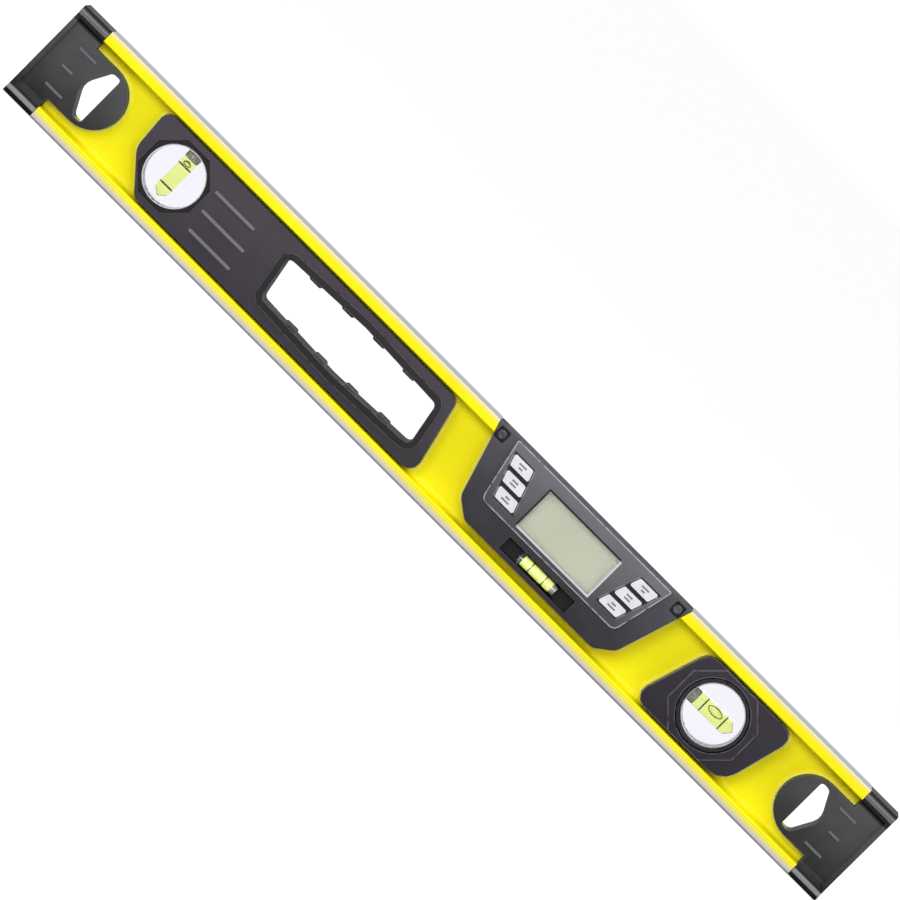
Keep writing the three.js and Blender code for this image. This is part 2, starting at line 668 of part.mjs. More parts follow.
function gripLiner() {
  const window = windowOutline();
  const lipStart = INSERT_FACE + SEAT_GAP;
  const lipEnd = INSERT_FACE + LINER_PROUD;
  const wall = offsetCorners(window, LINER_WALL);
  const lip = offsetCorners(window, LINER_WALL + LINER_LIP);
  const tube = join(
    plate(wall, -lipEnd, lipEnd),
    plate(lip, lipStart, lipEnd),
    plate(lip, -lipEnd, -lipStart),
  );
  return join(cut(tube, plate(window, -FAR, FAR)), ...fingerBumps(window));
}

// Low bumps along the long edges of the hand hole, which follow the bow of those edges.
function fingerBumps(window) {
  const [bottomLeft, bottomMiddle, bottomRight, topRight, topMiddle, topLeft] = window;
  const rows = [
    [BUMP_FIRST_TOP, [topLeft, topMiddle, topRight], 1],
    [BUMP_FIRST_BOTTOM, [bottomLeft, bottomMiddle, bottomRight], -1],
  ];
  const depth = INSERT_FACE - 1;
  return rows.flatMap(([first, edge, up]) => Array.from({ length: BUMP_COUNT }, (_, i) => {
    const x = window[5][0] + first + i * BUMP_PITCH;
    const [from, to] = x < edge[1][0] ? [edge[0], edge[1]] : [edge[1], edge[2]];
    const z = from[1] + ((to[1] - from[1]) * (x - from[0])) / (to[0] - from[0]);
    const half = BUMP_WIDTH / 2;
    return plate([
      [x - half, z + up, 0], [x + half, z + up, 0],
      [x + half * BUMP_CREST, z - up * BUMP_HEIGHT, 1],
      [x - half * BUMP_CREST, z - up * BUMP_HEIGHT, 1],
    ], -depth, depth, 2);
  }));
}

// ---- Round vial block: a clear disc with a blind tapered bore, liquid, two rings and a plug.
// It is made with its bore upright and the plug on top, then turned in its group.
function roundVial(name, x, turn) {
  const group = new THREE.Group();
  group.position.set(x, 0, MIDDLE);
  group.rotation.y = turn;
  const rim = Math.sqrt(VIAL_BLOCK_RADIUS ** 2 - VIAL_BORE_RADIUS ** 2) - SEAT_GAP;
  const taperEnd = -VIAL_BORE_DEPTH - VIAL_BORE_TAPER;
  const block = cut(
    join(
      disc(VIAL_BLOCK_RADIUS, -VIAL_BLOCK_HALF, VIAL_BLOCK_HALF, 0, 0, 32),
      disc(VIAL_COLLAR_RADIUS, -VIAL_COLLAR_HALF, VIAL_COLLAR_HALF, 0, 0, 32),
    ),
    turned([[0, taperEnd], [VIAL_BORE_RADIUS, -VIAL_BORE_DEPTH], [VIAL_BORE_RADIUS, FAR],
      [0, FAR]], 'z'),
  );
  addPart(`${name}_block`, block, CLEAR_ACRYLIC, group);
  const plugStart = rim - PLUG_LENGTH;
  addVialFilling(name, group, {
    bore: VIAL_BORE_RADIUS, start: taperEnd, shoulder: -VIAL_BORE_DEPTH, end: plugStart,
    plugEnd: rim, spacing: RING_SPACING, axis: 'z', ringNames: ['lower', 'upper'],
  });
  level.add(group);
}

// Liquid with a groove at each graduation ring, the two rings, and the plug that seals the bore.
function addVialFilling(name, parent, vial) {
  const radius = vial.bore - VIAL_GAP;
  const ringInner = radius - RING_WALL;
  const waist = ringInner - VIAL_GAP;
  const groove = RING_WIDTH / 2 + VIAL_GAP;
  const profile = [[0, vial.start + VIAL_GAP * 2], [radius, vial.shoulder + VIAL_GAP]];
  for (const centre of [-vial.spacing, vial.spacing]) {
    profile.push([radius, centre - groove], [waist, centre - groove]);
    profile.push([waist, centre + groove], [radius, centre + groove]);
  }
  profile.push([radius, vial.end - VIAL_GAP], [0, vial.end - VIAL_GAP]);
  addPart(`${name}_liquid`, turned(profile, vial.axis), VIAL_LIQUID, parent);
  [-vial.spacing, vial.spacing].forEach((centre, i) => {
    const ring = cut(
      rod(radius, centre - RING_WIDTH / 2, centre + RING_WIDTH / 2, vial.axis),
      rod(ringInner, centre - RING_WIDTH, centre + RING_WIDTH, vial.axis),
    );
    addPart(`${name}_ring_${vial.ringNames[i]}`, ring, BLACK_INK, parent);
  });
  const socket = rod(vial.bore / 3, vial.plugEnd - 1, vial.plugEnd + 1, vial.axis, 12);
  addPart(`${name}_plug`, cut(rod(radius, vial.end, vial.plugEnd, vial.axis), socket),
    VIAL_PLUG, parent);
}

// ---- Angle insert: fixed halves with an octagonal collar, and a round dial that turns in them

function angleHalf(side) {
  const collarTop = INSERT_FACE + COLLAR_HEIGHT;
  const flangeRoom = side > 0
    ? DIAL_FLANGE + CLEARANCE
    : DIAL_FLANGE + WASHER_THICKNESS + 2 * CLEARANCE;
  const collar = plate(octagon(COLLAR_FLAT, ANGLE_X, MIDDLE), side * (INSERT_FACE - 1),
    side * collarTop).intersect(plate(offsetCorners(angleOutline, -CLEARANCE), -FAR, FAR));
  return cut(
    join(clampHalf(angleOutline, side, INSERT_FACE), collar),
    disc(DIAL_RADIUS + CLEARANCE, -side, side * FAR, ANGLE_X, MIDDLE, 32),
    disc(DIAL_FLANGE_RADIUS + CLEARANCE, -side, side * flangeRoom, ANGLE_X, MIDDLE, 32),
    ...ANGLE_SCREWS.map(([x, z]) => (
      screwHole(ANGLE_X + x, MIDDLE + z, 1, INSERT_FACE, REAR_SINK)
    )),
  );
}

function dialHalf(side) {
  const face = INSERT_FACE + COLLAR_HEIGHT - DIAL_RECESS;
  const collarRoom = VIAL_COLLAR_HALF + CLEARANCE;
  const grips = Array.from({ length: DIAL_GRIP_COUNT }, (_, i) => {
    const angle = (2 * Math.PI * i) / DIAL_GRIP_COUNT;
    return disc(DIAL_GRIP_RADIUS, side * (face - DIAL_GRIP_DEPTH), side * FAR,
      DIAL_RADIUS * Math.cos(angle), DIAL_RADIUS * Math.sin(angle), 4);
  });
  return cut(
    join(
      disc(DIAL_RADIUS, side * SPLIT_GAP, side * face, 0, 0, 32),
      disc(DIAL_FLANGE_RADIUS, side * SPLIT_GAP, side * DIAL_FLANGE, 0, 0, 32),
    ),
    disc(VIAL_BLOCK_RADIUS + CLEARANCE, -side, side * FAR, 0, 0, 32),
    disc(VIAL_COLLAR_RADIUS + CLEARANCE, -side, side * collarRoom, 0, 0, 32),
    ...grips,
  );
}

function dialWasher() {
  const near = DIAL_FLANGE + CLEARANCE;
  const far = near + WASHER_THICKNESS;
  return cut(
    disc(DIAL_FLANGE_RADIUS - SEAT_GAP, -far, -near, 0, 0, 32),
    disc(DIAL_RADIUS + 2 * SEAT_GAP, -FAR, FAR, 0, 0, 32),
  );
}

// ---- Display module

const bayMiddle = DISPLAY_CENTRE;
const batteryRow = BATTERY_RADIUS + BATTERY_GAP / 2;
const bayHalfHeight = batteryRow + BATTERY_RADIUS + CLEARANCE;
const doorInner = MODULE_FACE - DOOR_THICKNESS;
const batteryDepth = doorInner - CLEARANCE - BATTERY_RADIUS;
const doorHalf = BAY_WIDTH / 2 + DOOR_MARGIN;
const doorBottom = bayMiddle - bayHalfHeight - DOOR_MARGIN;
const doorTop = bayMiddle + bayHalfHeight + DOOR_MARGIN;
const panelFront = MODULE_FACE + SEAT_GAP + PANEL_THICKNESS;

// A plate that fills the hollow of the housing from side to side, less a margin.
function boardPlate(margin, y0, y1) {
  const gap = BOARD_MARGIN + margin;
  return plate(moduleInset(BAY_SIDE + gap, MODULE_TOP - BAY_CEILING - gap), y0, y1)
    .intersect(box(LEFT_END, RIGHT_END, -FAR, FAR, BOARD_BOTTOM + margin, LEVEL_HEIGHT));
}

function keyOutline(side, row, grow = 0) {
  const x = MODULE_CENTRE + side * (KEY_COLUMN - row * KEY_PITCH * KEY_SLANT);
  const z = KEY_TOP - row * KEY_PITCH;
  const lean = -side * KEY_SLANT * (KEY_HEIGHT / 2);
  const [w, h] = [KEY_WIDTH / 2, KEY_HEIGHT / 2];
  return offsetCorners([
    [x - w + lean, z - h, KEY_CORNER], [x + w + lean, z - h, KEY_CORNER],
    [x + w - lean, z + h, KEY_CORNER], [x - w - lean, z + h, KEY_CORNER],
  ], grow);
}

function eachKey(action) {
  for (const [side, column] of [[-1, 'left'], [1, 'right']]) {
    ['top', 'middle', 'bottom'].forEach((place, row) => action(side, row, `${column}_${place}`));
  }
}

function keyHoles() {
  const holes = [];
  eachKey((side, row) => holes.push(plate(keyOutline(side, row, CLEARANCE), -FAR, 0, 2)));
  return holes;
}

function displayRectangle(margin, radius = 0.6) {
  return rectangle(
    MODULE_CENTRE - DISPLAY_WIDTH / 2 - margin, DISPLAY_CENTRE - DISPLAY_HEIGHT / 2 - margin,
    MODULE_CENTRE + DISPLAY_WIDTH / 2 + margin, DISPLAY_CENTRE + DISPLAY_HEIGHT / 2 + margin,
    radius,
  );
}

function cornerNotches() {
  return [-1, 1].map((side) => {
    const inner = MODULE_CENTRE + side * CORNER_NOTCH_FROM;
    const outer = inner + side * CORNER_NOTCH_WIDTH;
    const [x0, x1] = [Math.min(inner, outer), Math.max(inner, outer)];
    const z1 = MODULE_TOP - CORNER_NOTCH_TOP;
    return plate(rectangle(x0, z1 - CORNER_NOTCH_HEIGHT, x1, z1, CORNER_NOTCH_TOP),
      -(MODULE_FACE - CORNER_NOTCH_DEPTH), -FAR);
  });
}

const notchScrewX = CORNER_NOTCH_FROM + CORNER_NOTCH_WIDTH / 2;
const notchScrewZ = MODULE_TOP - CORNER_NOTCH_TOP - CORNER_NOTCH_HEIGHT / 2;

function moduleScrewHoles() {
  return [-1, 1].flatMap((side) => [
    screwHole(MODULE_CENTRE + side * notchScrewX, notchScrewZ, -1, MODULE_FACE, NOTCH_SINK),
  ]).concat(MODULE_REAR_SCREWS.map((x) => (
    screwHole(MODULE_CENTRE + x, MODULE_REAR_SCREW_HEIGHT, 1, MODULE_FACE, REAR_SINK)
  )));
}

// One half of the module housing: a slab outside the web and a core through it.
function moduleHalf(side) {
  const back = HALF_WEB + CLEARANCE;
  const inside = (back + MODULE_FACE) / 2;
  const body = join(
    plate(moduleOutline(MODULE_TOP), side * back, side * MODULE_FACE),
    plate(moduleInset(CORE_INSET), side * SPLIT_GAP, side * inside),
  );
  const bay = plate(moduleInset(BAY_SIDE, MODULE_TOP - BAY_CEILING), -side,
    side * (MODULE_FACE - MODULE_WALL))
    .intersect(box(LEFT_END, RIGHT_END, -FAR, FAR, BAY_FLOOR, LEVEL_HEIGHT));
  return cut(body, bay, gasketRing(CLEARANCE), ...moduleScrewHoles());
}

function gasketRing(grow) {
  const top = MODULE_TOP - GASKET_TOP_INSET;
  const outer = moduleInset(GASKET_INSET - grow, top + grow);
  const inner = moduleInset(GASKET_INSET + GASKET_WIDTH + grow, top - GASKET_WIDTH - grow);
  const reach = GASKET_HALF + grow / 2;
  const low = BAY_FLOOR - GASKET_DROP - grow;
  const high = BAY_FLOOR - GASKET_DROP + GASKET_WIDTH + grow;
  return cut(
    plate(outer, -reach, reach).intersect(box(LEFT_END, RIGHT_END, -FAR, FAR, low, LEVEL_HEIGHT)),
    plate(inner, -FAR, FAR).intersect(box(LEFT_END, RIGHT_END, -FAR, FAR, high, LEVEL_HEIGHT)),
  );
}

function frontHousing() {
  const slotHalf = CENTRE_SLOT_LENGTH / 2;
  const slotRise = CENTRE_VIAL_RADIUS + CLEARANCE;
  const slotDepth = 2 * CENTRE_VIAL_RADIUS + 2 * CLEARANCE;
  return cut(
    moduleHalf(-1),
    plate(displayRectangle(CLEARANCE / 2), -FAR, 0),
    ...keyHoles(),
    ...cornerNotches(),
    box(MODULE_CENTRE - slotHalf, MODULE_CENTRE + slotHalf, -FAR, -(MODULE_FACE - slotDepth),
      CENTRE_VIAL_HEIGHT - slotRise, CENTRE_VIAL_HEIGHT + slotRise),
  );
}

function hingeBarrel(from, to, radius, side = 1) {
  const ends = [from * side, to * side].sort((a, b) => a - b);
  return rod(radius, ends[0], ends[1], 'x', 12).translate([MODULE_CENTRE, MODULE_FACE, doorBottom]);
}

const knuckleFrom = KNUCKLE_CENTRE - KNUCKLE_LENGTH / 2;
const knuckleTo = KNUCKLE_CENTRE + KNUCKLE_LENGTH / 2;
const pinBore = PIN_RADIUS + CLEARANCE / 2;

function rearHousing() {
  const wallZ = [bayMiddle - bayHalfHeight, bayMiddle + bayHalfHeight];
  const bayWalls = [-1, 1].map((side) => {
    const inner = MODULE_CENTRE + side * (BAY_WIDTH / 2);
    const outer = inner + side * BAY_WALL;
    return box(Math.min(inner, outer), Math.max(inner, outer), BAY_WALL_FRONT, MODULE_FACE - 1,
      BAY_FLOOR - 1, MODULE_TOP - BAY_CEILING + SEAT_GAP);
  });
  const opening = rectangle(MODULE_CENTRE - BAY_WIDTH / 2, wallZ[0], MODULE_CENTRE + BAY_WIDTH / 2,
    wallZ[1], 1);
  const rebate = rectangle(MODULE_CENTRE - doorHalf - CLEARANCE, doorBottom - CLEARANCE,
    MODULE_CENTRE + doorHalf + CLEARANCE, doorTop + CLEARANCE, 1.5);
  const housing = cut(
    join(moduleHalf(1), ...bayWalls),
    plate(opening, 1, FAR),
    plate(rebate, doorInner - CLEARANCE, FAR),
    ...[-1, 1].map((side) => (
      hingeBarrel(knuckleFrom - CLEARANCE, knuckleTo + CLEARANCE, KNUCKLE_RADIUS + CLEARANCE, side)
    )),
  );
  const lugs = [
    hingeBarrel(-(knuckleFrom - CLEARANCE), knuckleFrom - CLEARANCE, KNUCKLE_RADIUS),
    ...[-1, 1].map((side) => hingeBarrel(knuckleTo + CLEARANCE, LUG_OUTER, KNUCKLE_RADIUS, side)),
  ];
  return cut(join(housing, ...lugs), hingeBarrel(-LUG_OUTER - 1, LUG_OUTER + 1, pinBore));
}

function batteryDoor() {
  const leaf = plate(rectangle(MODULE_CENTRE - doorHalf, doorBottom, MODULE_CENTRE + doorHalf,
    doorTop, 1.2), doorInner, MODULE_FACE);
  const lugRoom = KNUCKLE_RADIUS + CLEARANCE;
  const thumb = plate(rectangle(MODULE_CENTRE - THUMB_HALF, doorTop - THUMB_FROM,
    MODULE_CENTRE + THUMB_HALF, doorTop - THUMB_TO, THUMB_DEPTH), MODULE_FACE - THUMB_DEPTH, FAR);
  const knuckles = [-1, 1].map((side) => hingeBarrel(knuckleFrom, knuckleTo, KNUCKLE_RADIUS, side));
  const cleared = cut(leaf, thumb,
    hingeBarrel(-knuckleFrom, knuckleFrom, lugRoom),
    ...[-1, 1].map((side) => hingeBarrel(knuckleTo, doorHalf + 1, lugRoom, side)));
  return cut(join(cleared, ...knuckles), hingeBarrel(-FAR, FAR, pinBore));
}

function battery(z, turn) {
  const half = BATTERY_LENGTH / 2;
  const nub = half + BATTERY_NUB;
  const cell = turned([[0, -half], [BATTERY_RADIUS, -half], [BATTERY_RADIUS, half],
    [BATTERY_NUB_RADIUS, half], [BATTERY_NUB_RADIUS, nub], [0, nub]], 'x', 16);
  const group = new THREE.Group();
  group.position.set(MODULE_CENTRE, batteryDepth, z);
  group.rotation.y = turn;
  level.add(group);
  return [cell, group];
}

// Coil spring along X that presses on the flat end of a cell.
function contactSpring() {
  const wire = SPRING_WIRE;
  const start = BATTERY_LENGTH / 2 + CLEARANCE;
  const length = BAY_WIDTH / 2 - start - CLEARANCE - wire * 2;
  const points = [];
  for (let k = 0; k <= 24; k += 1) {
    const t = k / 24;
    const angle = t * SPRING_TURNS * 2 * Math.PI;
    const radius = THREE.MathUtils.lerp(SPRING_SMALL_RADIUS, SPRING_LARGE_RADIUS, t);
    points.push(new THREE.Vector3(
      start + wire + length * t, radius * Math.cos(angle), radius * Math.sin(angle),
    ));
  }
  const section = new THREE.Shape(Array.from({ length: 4 }, (_, i) => (
    new THREE.Vector2(wire * Math.cos((i * Math.PI) / 2), wire * Math.sin((i * Math.PI) / 2))
  )));
  const path = new THREE.CatmullRomCurve3(points);
  return solid(new THREE.ExtrudeGeometry(section, { steps: 30, extrudePath: path }));
}

// ---- Assembly

addPart('frame', frame(), YELLOW_COAT);
addPart('end_cap_left', endCap(-1), CAP_PLASTIC);
addPart('end_cap_right', endCap(1), CAP_PLASTIC);

addPart('handle_front_shell', handleHalf(-1), INSERT_PLASTIC);
addPart('handle_rear_shell', handleHalf(1), INSERT_PLASTIC);
addPart('handle_grip_liner', gripLiner(), GRIP_RUBBER);
roundVial('plumb_vial', PLUMB_X, 0);
HANDLE_SCREWS.forEach(([x, z], i) => {
  screwAt(`handle_screw_${i + 1}`, HANDLE_X + x, MIDDLE + z, 1, INSERT_FACE, REAR_SINK);
});

addPart('angle_front_shell', angleHalf(-1), INSERT_PLASTIC);
addPart('angle_rear_shell', angleHalf(1), INSERT_PLASTIC);
const dial = new THREE.Group();
dial.position.set(ANGLE_X, 0, MIDDLE);
level.add(dial);
addPart('angle_dial_front', dialHalf(-1), CAP_PLASTIC, dial);
addPart('angle_dial_rear', dialHalf(1), CAP_PLASTIC, dial);
addPart('dial_friction_washer', dialWasher(), GRIP_RUBBER, dial);
roundVial('angle_vial', ANGLE_X, -Math.PI / 2);
ANGLE_SCREWS.forEach(([x, z], i) => {
  screwAt(`angle_screw_${i + 1}`, ANGLE_X + x, MIDDLE + z, 1, INSERT_FACE, REAR_SINK);
});

addPart('module_front_housing', frontHousing(), MODULE_PLASTIC);
addPart('module_rear_housing', rearHousing(), MODULE_PLASTIC);
addPart('module_gasket', gasketRing(0), GRIP_RUBBER);

const panelOutline = [
  [MODULE_CENTRE - PANEL_BOTTOM_HALF, PANEL_BOTTOM, 4],
  [MODULE_CENTRE + PANEL_BOTTOM_HALF, PANEL_BOTTOM, 4],
  [MODULE_CENTRE + PANEL_TOP_HALF, MODULE_TOP - PANEL_TOP_INSET, 1],
  [MODULE_CENTRE - PANEL_TOP_HALF, MODULE_TOP - PANEL_TOP_INSET, 1],
];
const panel = cut(
  plate(panelOutline, -(MODULE_FACE + SEAT_GAP), -panelFront),
  plate(displayRectangle(0), -FAR, 0),
  ...keyHoles(),
);
addPart('display_panel', panel, PANEL_PAINT);
const lensBack = MODULE_FACE - MODULE_WALL + SEAT_GAP;
addPart('display_lens', plate(displayRectangle(-SEAT_GAP), -lensBack,
  -(lensBack + LENS_THICKNESS)), CLEAR_ACRYLIC);
const behindWall = MODULE_FACE - MODULE_WALL - CLEARANCE;
addPart('display_lcd', plate(displayRectangle(LCD_MARGIN), -(behindWall - LCD_THICKNESS),
  -behindWall), DISPLAY_GLASS);

const keyBack = behindWall - KEY_FLANGE_THICKNESS;
eachKey((side, row, place) => {
  const key = join(
    plate(keyOutline(side, row), -keyBack, -(panelFront + KEY_PROUD), 2),
    plate(keyOutline(side, row, KEY_FLANGE), -keyBack, -behindWall, 2),
  );
  addPart(`button_${place}`, key, KEY_WHITE);
});

const boardFront = -BOARD_FRONT;
for (const [side, column] of [[-1, 'left'], [1, 'right']]) {
  const lowestKey = KEY_COLUMN - 2 * KEY_PITCH * KEY_SLANT;
  const inner = MODULE_CENTRE + side * (lowestKey - KEY_WIDTH / 2 + CLEARANCE);
  const outer = MODULE_CENTRE + side * MODULE_TOP_HALF;
  const base = boardFront + SEAT_GAP;
  const sheet = boardPlate(KEYPAD_MARGIN, -base, -(base + KEYPAD_BASE))
    .intersect(box(Math.min(inner, outer), Math.max(inner, outer), -FAR, FAR, 0, LEVEL_HEIGHT));
  const domes = [0, 1, 2].map((row) => plate(keyOutline(side, row, -DOME_INSET), -base,
    -(keyBack - KEY_TRAVEL - SEAT_GAP), 2));
  addPart(`keypad_${column}`, join(sheet, ...domes), SILICONE);
}
addPart('main_board', boardPlate(0, BOARD_FRONT, BOARD_FRONT + BOARD_THICKNESS), BOARD_GREEN);
const boardBack = BOARD_FRONT + BOARD_THICKNESS + SEAT_GAP;
addPart('buzzer', disc(BUZZER_RADIUS, boardBack, boardBack + BUZZER_HEIGHT,
  MODULE_CENTRE - COMPONENT_REACH, bayMiddle, 24), BLACK_INK);
const sensorX = MODULE_CENTRE + COMPONENT_REACH;
const [sensorWidth, sensorHeight, sensorDepth] = SENSOR_SIZE;
addPart('tilt_sensor', box(sensorX - sensorWidth / 2, sensorX + sensorWidth / 2, boardBack,
  boardBack + sensorDepth, bayMiddle - sensorHeight / 2, bayMiddle + sensorHeight / 2), STEEL);

const spring = contactSpring();
[[-1, 'lower', 0], [1, 'upper', Math.PI]].forEach(([up, place, turn]) => {
  const [cell, group] = battery(bayMiddle + up * batteryRow, turn);
  addPart(`battery_${place}`, cell, CELL_SLEEVE, group);
  const springGroup = new THREE.Group();
  springGroup.rotation.y = Math.PI;
  group.add(springGroup);
  addPart(`battery_spring_${place}`, spring, STEEL, springGroup);
});
addPart('battery_door', batteryDoor(), MODULE_PLASTIC);
addPart('battery_door_pin', hingeBarrel(-LUG_OUTER, LUG_OUTER, PIN_RADIUS), STEEL);

[['left', -1], ['right', 1]].forEach(([place, side]) => {
  screwAt(`module_screw_top_${place}`, MODULE_CENTRE + side * notchScrewX, notchScrewZ, -1,
    MODULE_FACE, NOTCH_SINK);
});
MODULE_REAR_SCREWS.forEach((x, i) => {
  screwAt(`module_screw_rear_${i + 1}`, MODULE_CENTRE + x, MODULE_REAR_SCREW_HEIGHT, 1,
    MODULE_FACE, REAR_SINK);
});

const centreVial = new THREE.Group();
centreVial.position.set(MODULE_CENTRE, -(MODULE_FACE - CENTRE_VIAL_RADIUS - CLEARANCE),
  CENTRE_VIAL_HEIGHT);
level.add(centreVial);
const centreHalf = CENTRE_VIAL_LENGTH / 2;
const boreStart = CENTRE_VIAL_END - centreHalf;
addPart('centre_vial_tube', cut(
  rod(CENTRE_VIAL_RADIUS, -centreHalf, centreHalf, 'x', 24),
  rod(CENTRE_VIAL_BORE, boreStart, FAR, 'x', 20),
), CLEAR_ACRYLIC, centreVial);
addVialFilling('centre_vial', centreVial, {
  bore: CENTRE_VIAL_BORE, start: boreStart, shoulder: boreStart + VIAL_GAP,
  end: centreHalf - SEAT_GAP - CENTRE_PLUG, plugEnd: centreHalf - SEAT_GAP,
  spacing: CENTRE_RING, axis: 'x', ringNames: ['left', 'right'],
});

export default level;
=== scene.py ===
import math

import bmesh
import bpy
from mathutils import Matrix, Vector


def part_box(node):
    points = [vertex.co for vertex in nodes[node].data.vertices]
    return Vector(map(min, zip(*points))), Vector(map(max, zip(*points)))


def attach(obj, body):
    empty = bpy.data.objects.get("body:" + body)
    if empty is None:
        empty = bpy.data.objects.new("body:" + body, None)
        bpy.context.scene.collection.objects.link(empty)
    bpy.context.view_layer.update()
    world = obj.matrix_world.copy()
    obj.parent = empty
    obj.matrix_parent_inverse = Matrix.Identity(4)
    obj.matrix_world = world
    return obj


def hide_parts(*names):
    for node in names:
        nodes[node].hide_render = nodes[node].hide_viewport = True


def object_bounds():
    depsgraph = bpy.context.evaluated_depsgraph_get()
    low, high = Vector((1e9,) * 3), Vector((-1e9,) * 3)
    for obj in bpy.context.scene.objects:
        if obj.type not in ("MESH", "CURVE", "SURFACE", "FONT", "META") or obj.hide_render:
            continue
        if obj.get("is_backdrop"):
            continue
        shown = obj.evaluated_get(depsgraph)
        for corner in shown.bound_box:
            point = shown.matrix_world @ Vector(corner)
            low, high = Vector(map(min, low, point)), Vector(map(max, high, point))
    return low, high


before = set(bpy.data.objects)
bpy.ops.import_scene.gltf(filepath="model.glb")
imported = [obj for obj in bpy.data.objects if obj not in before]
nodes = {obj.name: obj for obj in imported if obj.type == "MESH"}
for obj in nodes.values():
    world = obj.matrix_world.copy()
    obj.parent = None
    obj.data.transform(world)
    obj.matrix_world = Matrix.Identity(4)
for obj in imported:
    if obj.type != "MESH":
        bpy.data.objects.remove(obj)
cad_low, cad_high = (Vector(corner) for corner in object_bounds())

# ---------------------------------------------------------------------------------------------
# Frame: an extruded aluminium I-beam, powder coated yellow, with its top and bottom faces milled
# bare afterwards. Each opening in the web has a rolled lip.

MM = 0.001
MIDDLE_HEIGHT = (cad_low.z + cad_high.z) / 2
FRAME_EDGE = 0.35 * MM
BOTTOM_BAND = (1.2 * MM, 5.6 * MM)   # where the coat starts above the bottom face, thin to full
TOP_BAND = (-2.2 * MM, 3.2 * MM)     # the same below the top face, past it where it is negative
MILLED_DEPTH = 0.3 * MM              # fully bare this far below the top face
WEB_HALF = 1.5 * MM
LIP_FOOT = (0.3 * MM, 0.6 * MM)      # height above the web where the lip's painted highlight fades in
LIP_CREST = (1.1 * MM, 1.2 * MM)     # and out again
LIP_REACH = 20.5 * MM                # no lip lies further than this above or below the middle
COAT_YELLOW = (250, 241, 2)
COAT_SHADE = (245, 229, 1)
# painted highlight: the lip's crest is painted a paler yellow than the coat
LIP_HIGHLIGHT_YELLOW = (254, 250, 104)
BARE_ALUMINIUM = (186, 184, 198)


def linear(red, green, blue):
    """An 8-bit display colour as the linear colour that a shader takes."""
    values = [channel / 255 for channel in (red, green, blue)]
    return [v / 12.92 if v <= 0.04045 else ((v + 0.055) / 1.055) ** 2.4 for v in values] + [1.0]


def put(tree, kind, inputs=None, **settings):
    """A node with its settings, and its inputs set or linked."""
    node = tree.nodes.new("ShaderNode" + kind)
    for key, value in settings.items():
        setattr(node, key, value)
    for key, value in (inputs or {}).items():
        if isinstance(value, bpy.types.NodeSocket):
            tree.links.new(value, node.inputs[key])
        else:
            node.inputs[key].default_value = value
    return node


def math_node(tree, operation, *values, clamp=False):
    """The output of a Math node for sockets or numbers."""
    made = put(tree, "Math", dict(enumerate(values)), operation=operation, use_clamp=clamp)
    return made.outputs[0]


def blend_colours(tree, factor, first, second):
    """The output of a colour Mix node."""
    mix = put(tree, "Mix", {0: factor, 6: first, 7: second}, data_type="RGBA")
    return mix.outputs[2]


def effect(name, inputs, outputs):
    """An empty node group with float inputs {name: default} and outputs {name: socket type}."""
    group = bpy.data.node_groups.new(name, "ShaderNodeTree")
    for label, default in inputs.items():
        socket = group.interface.new_socket(label, in_out="INPUT", socket_type="NodeSocketFloat")
        socket.default_value = default
    for label, kind in outputs.items():
        group.interface.new_socket(label, in_out="OUTPUT", socket_type=kind)
    return group, group.nodes.new("NodeGroupInput"), group.nodes.new("NodeGroupOutput")


def use(tree, group, **values):
    """A group placed in a material, with its own values."""
    node = tree.nodes.new("ShaderNodeGroup")
    node.node_tree = group
    for key, value in values.items():
        node.inputs[key.replace("_", " ").capitalize()].default_value = value
    return node


def build_surface_grain():
    """Fine bumps of a moulded or sprayed surface, and a slow change of tone over it."""
    group, given, result = effect(
        "surface_grain", {"Grain scale": 2500.0, "Patch scale": 40.0},
        {"Height": "NodeSocketFloat", "Tone": "NodeSocketFloat"})
    place = put(group, "TexCoord").outputs["Object"]
    fine = put(group, "TexNoise", {"Vector": place, "Scale": given.outputs["Grain scale"],
                                   "Detail": 3.0, "Roughness": 0.6})
    broad = put(group, "TexNoise", {"Vector": place, "Scale": given.outputs["Patch scale"],
                                    "Detail": 5.0, "Roughness": 0.55})
    group.links.new(fine.outputs[0], result.inputs["Height"])
    group.links.new(broad.outputs[0], result.inputs["Tone"])
    return group


def build_edge_wear_and_highlight():
    """A mask of rubbed edges and painted edge highlights: where the surface turns within the reach,
    broken up by noise.
    """
    group, given, result = effect("edge_wear_and_highlight", {"Reach": 0.0006, "Amount": 0.5},
                                  {"Mask": "NodeSocketFloat"})
    soft = put(group, "Bevel", {"Radius": given.outputs["Reach"]}, samples=6).outputs[0]
    true_normal = put(group, "NewGeometry").outputs["Normal"]
    same = put(group, "VectorMath", {0: soft, 1: true_normal}, operation="DOT_PRODUCT")
    turn = math_node(group, "SUBTRACT", 1.0, same.outputs["Value"])
    strong = math_node(group, "MULTIPLY", turn, 7.0, clamp=True)
    place = put(group, "TexCoord").outputs["Object"]
    chips = put(group, "TexNoise", {"Vector": place, "Scale": 260.0, "Detail": 4.0}).outputs[0]
    broken = put(group, "MapRange", {"Value": chips, "From Min": 0.3, "From Max": 0.5})
    worn_and_lit = math_node(group, "MULTIPLY", strong, broken.outputs[0])
    mask = math_node(group, "MULTIPLY", worn_and_lit, given.outputs["Amount"], clamp=True)
    group.links.new(mask, result.inputs["Mask"])
    return group


def build_brushed_lines():
    """Fine cutter lines along the length of the level."""
    group, given, result = effect("brushed_lines", {"Line scale": 2600.0},
                                  {"Height": "NodeSocketFloat"})
    place = put(group, "TexCoord").outputs["Object"]
    stretched = put(group, "Mapping", {"Vector": place, "Scale": (0.012, 1.0, 1.0)})
    lines = put(group, "TexNoise", {"Vector": stretched.outputs[0], "Detail": 2.0,
                                    "Scale": given.outputs["Line scale"]})
    group.links.new(lines.outputs[0], result.inputs["Height"])
    return group


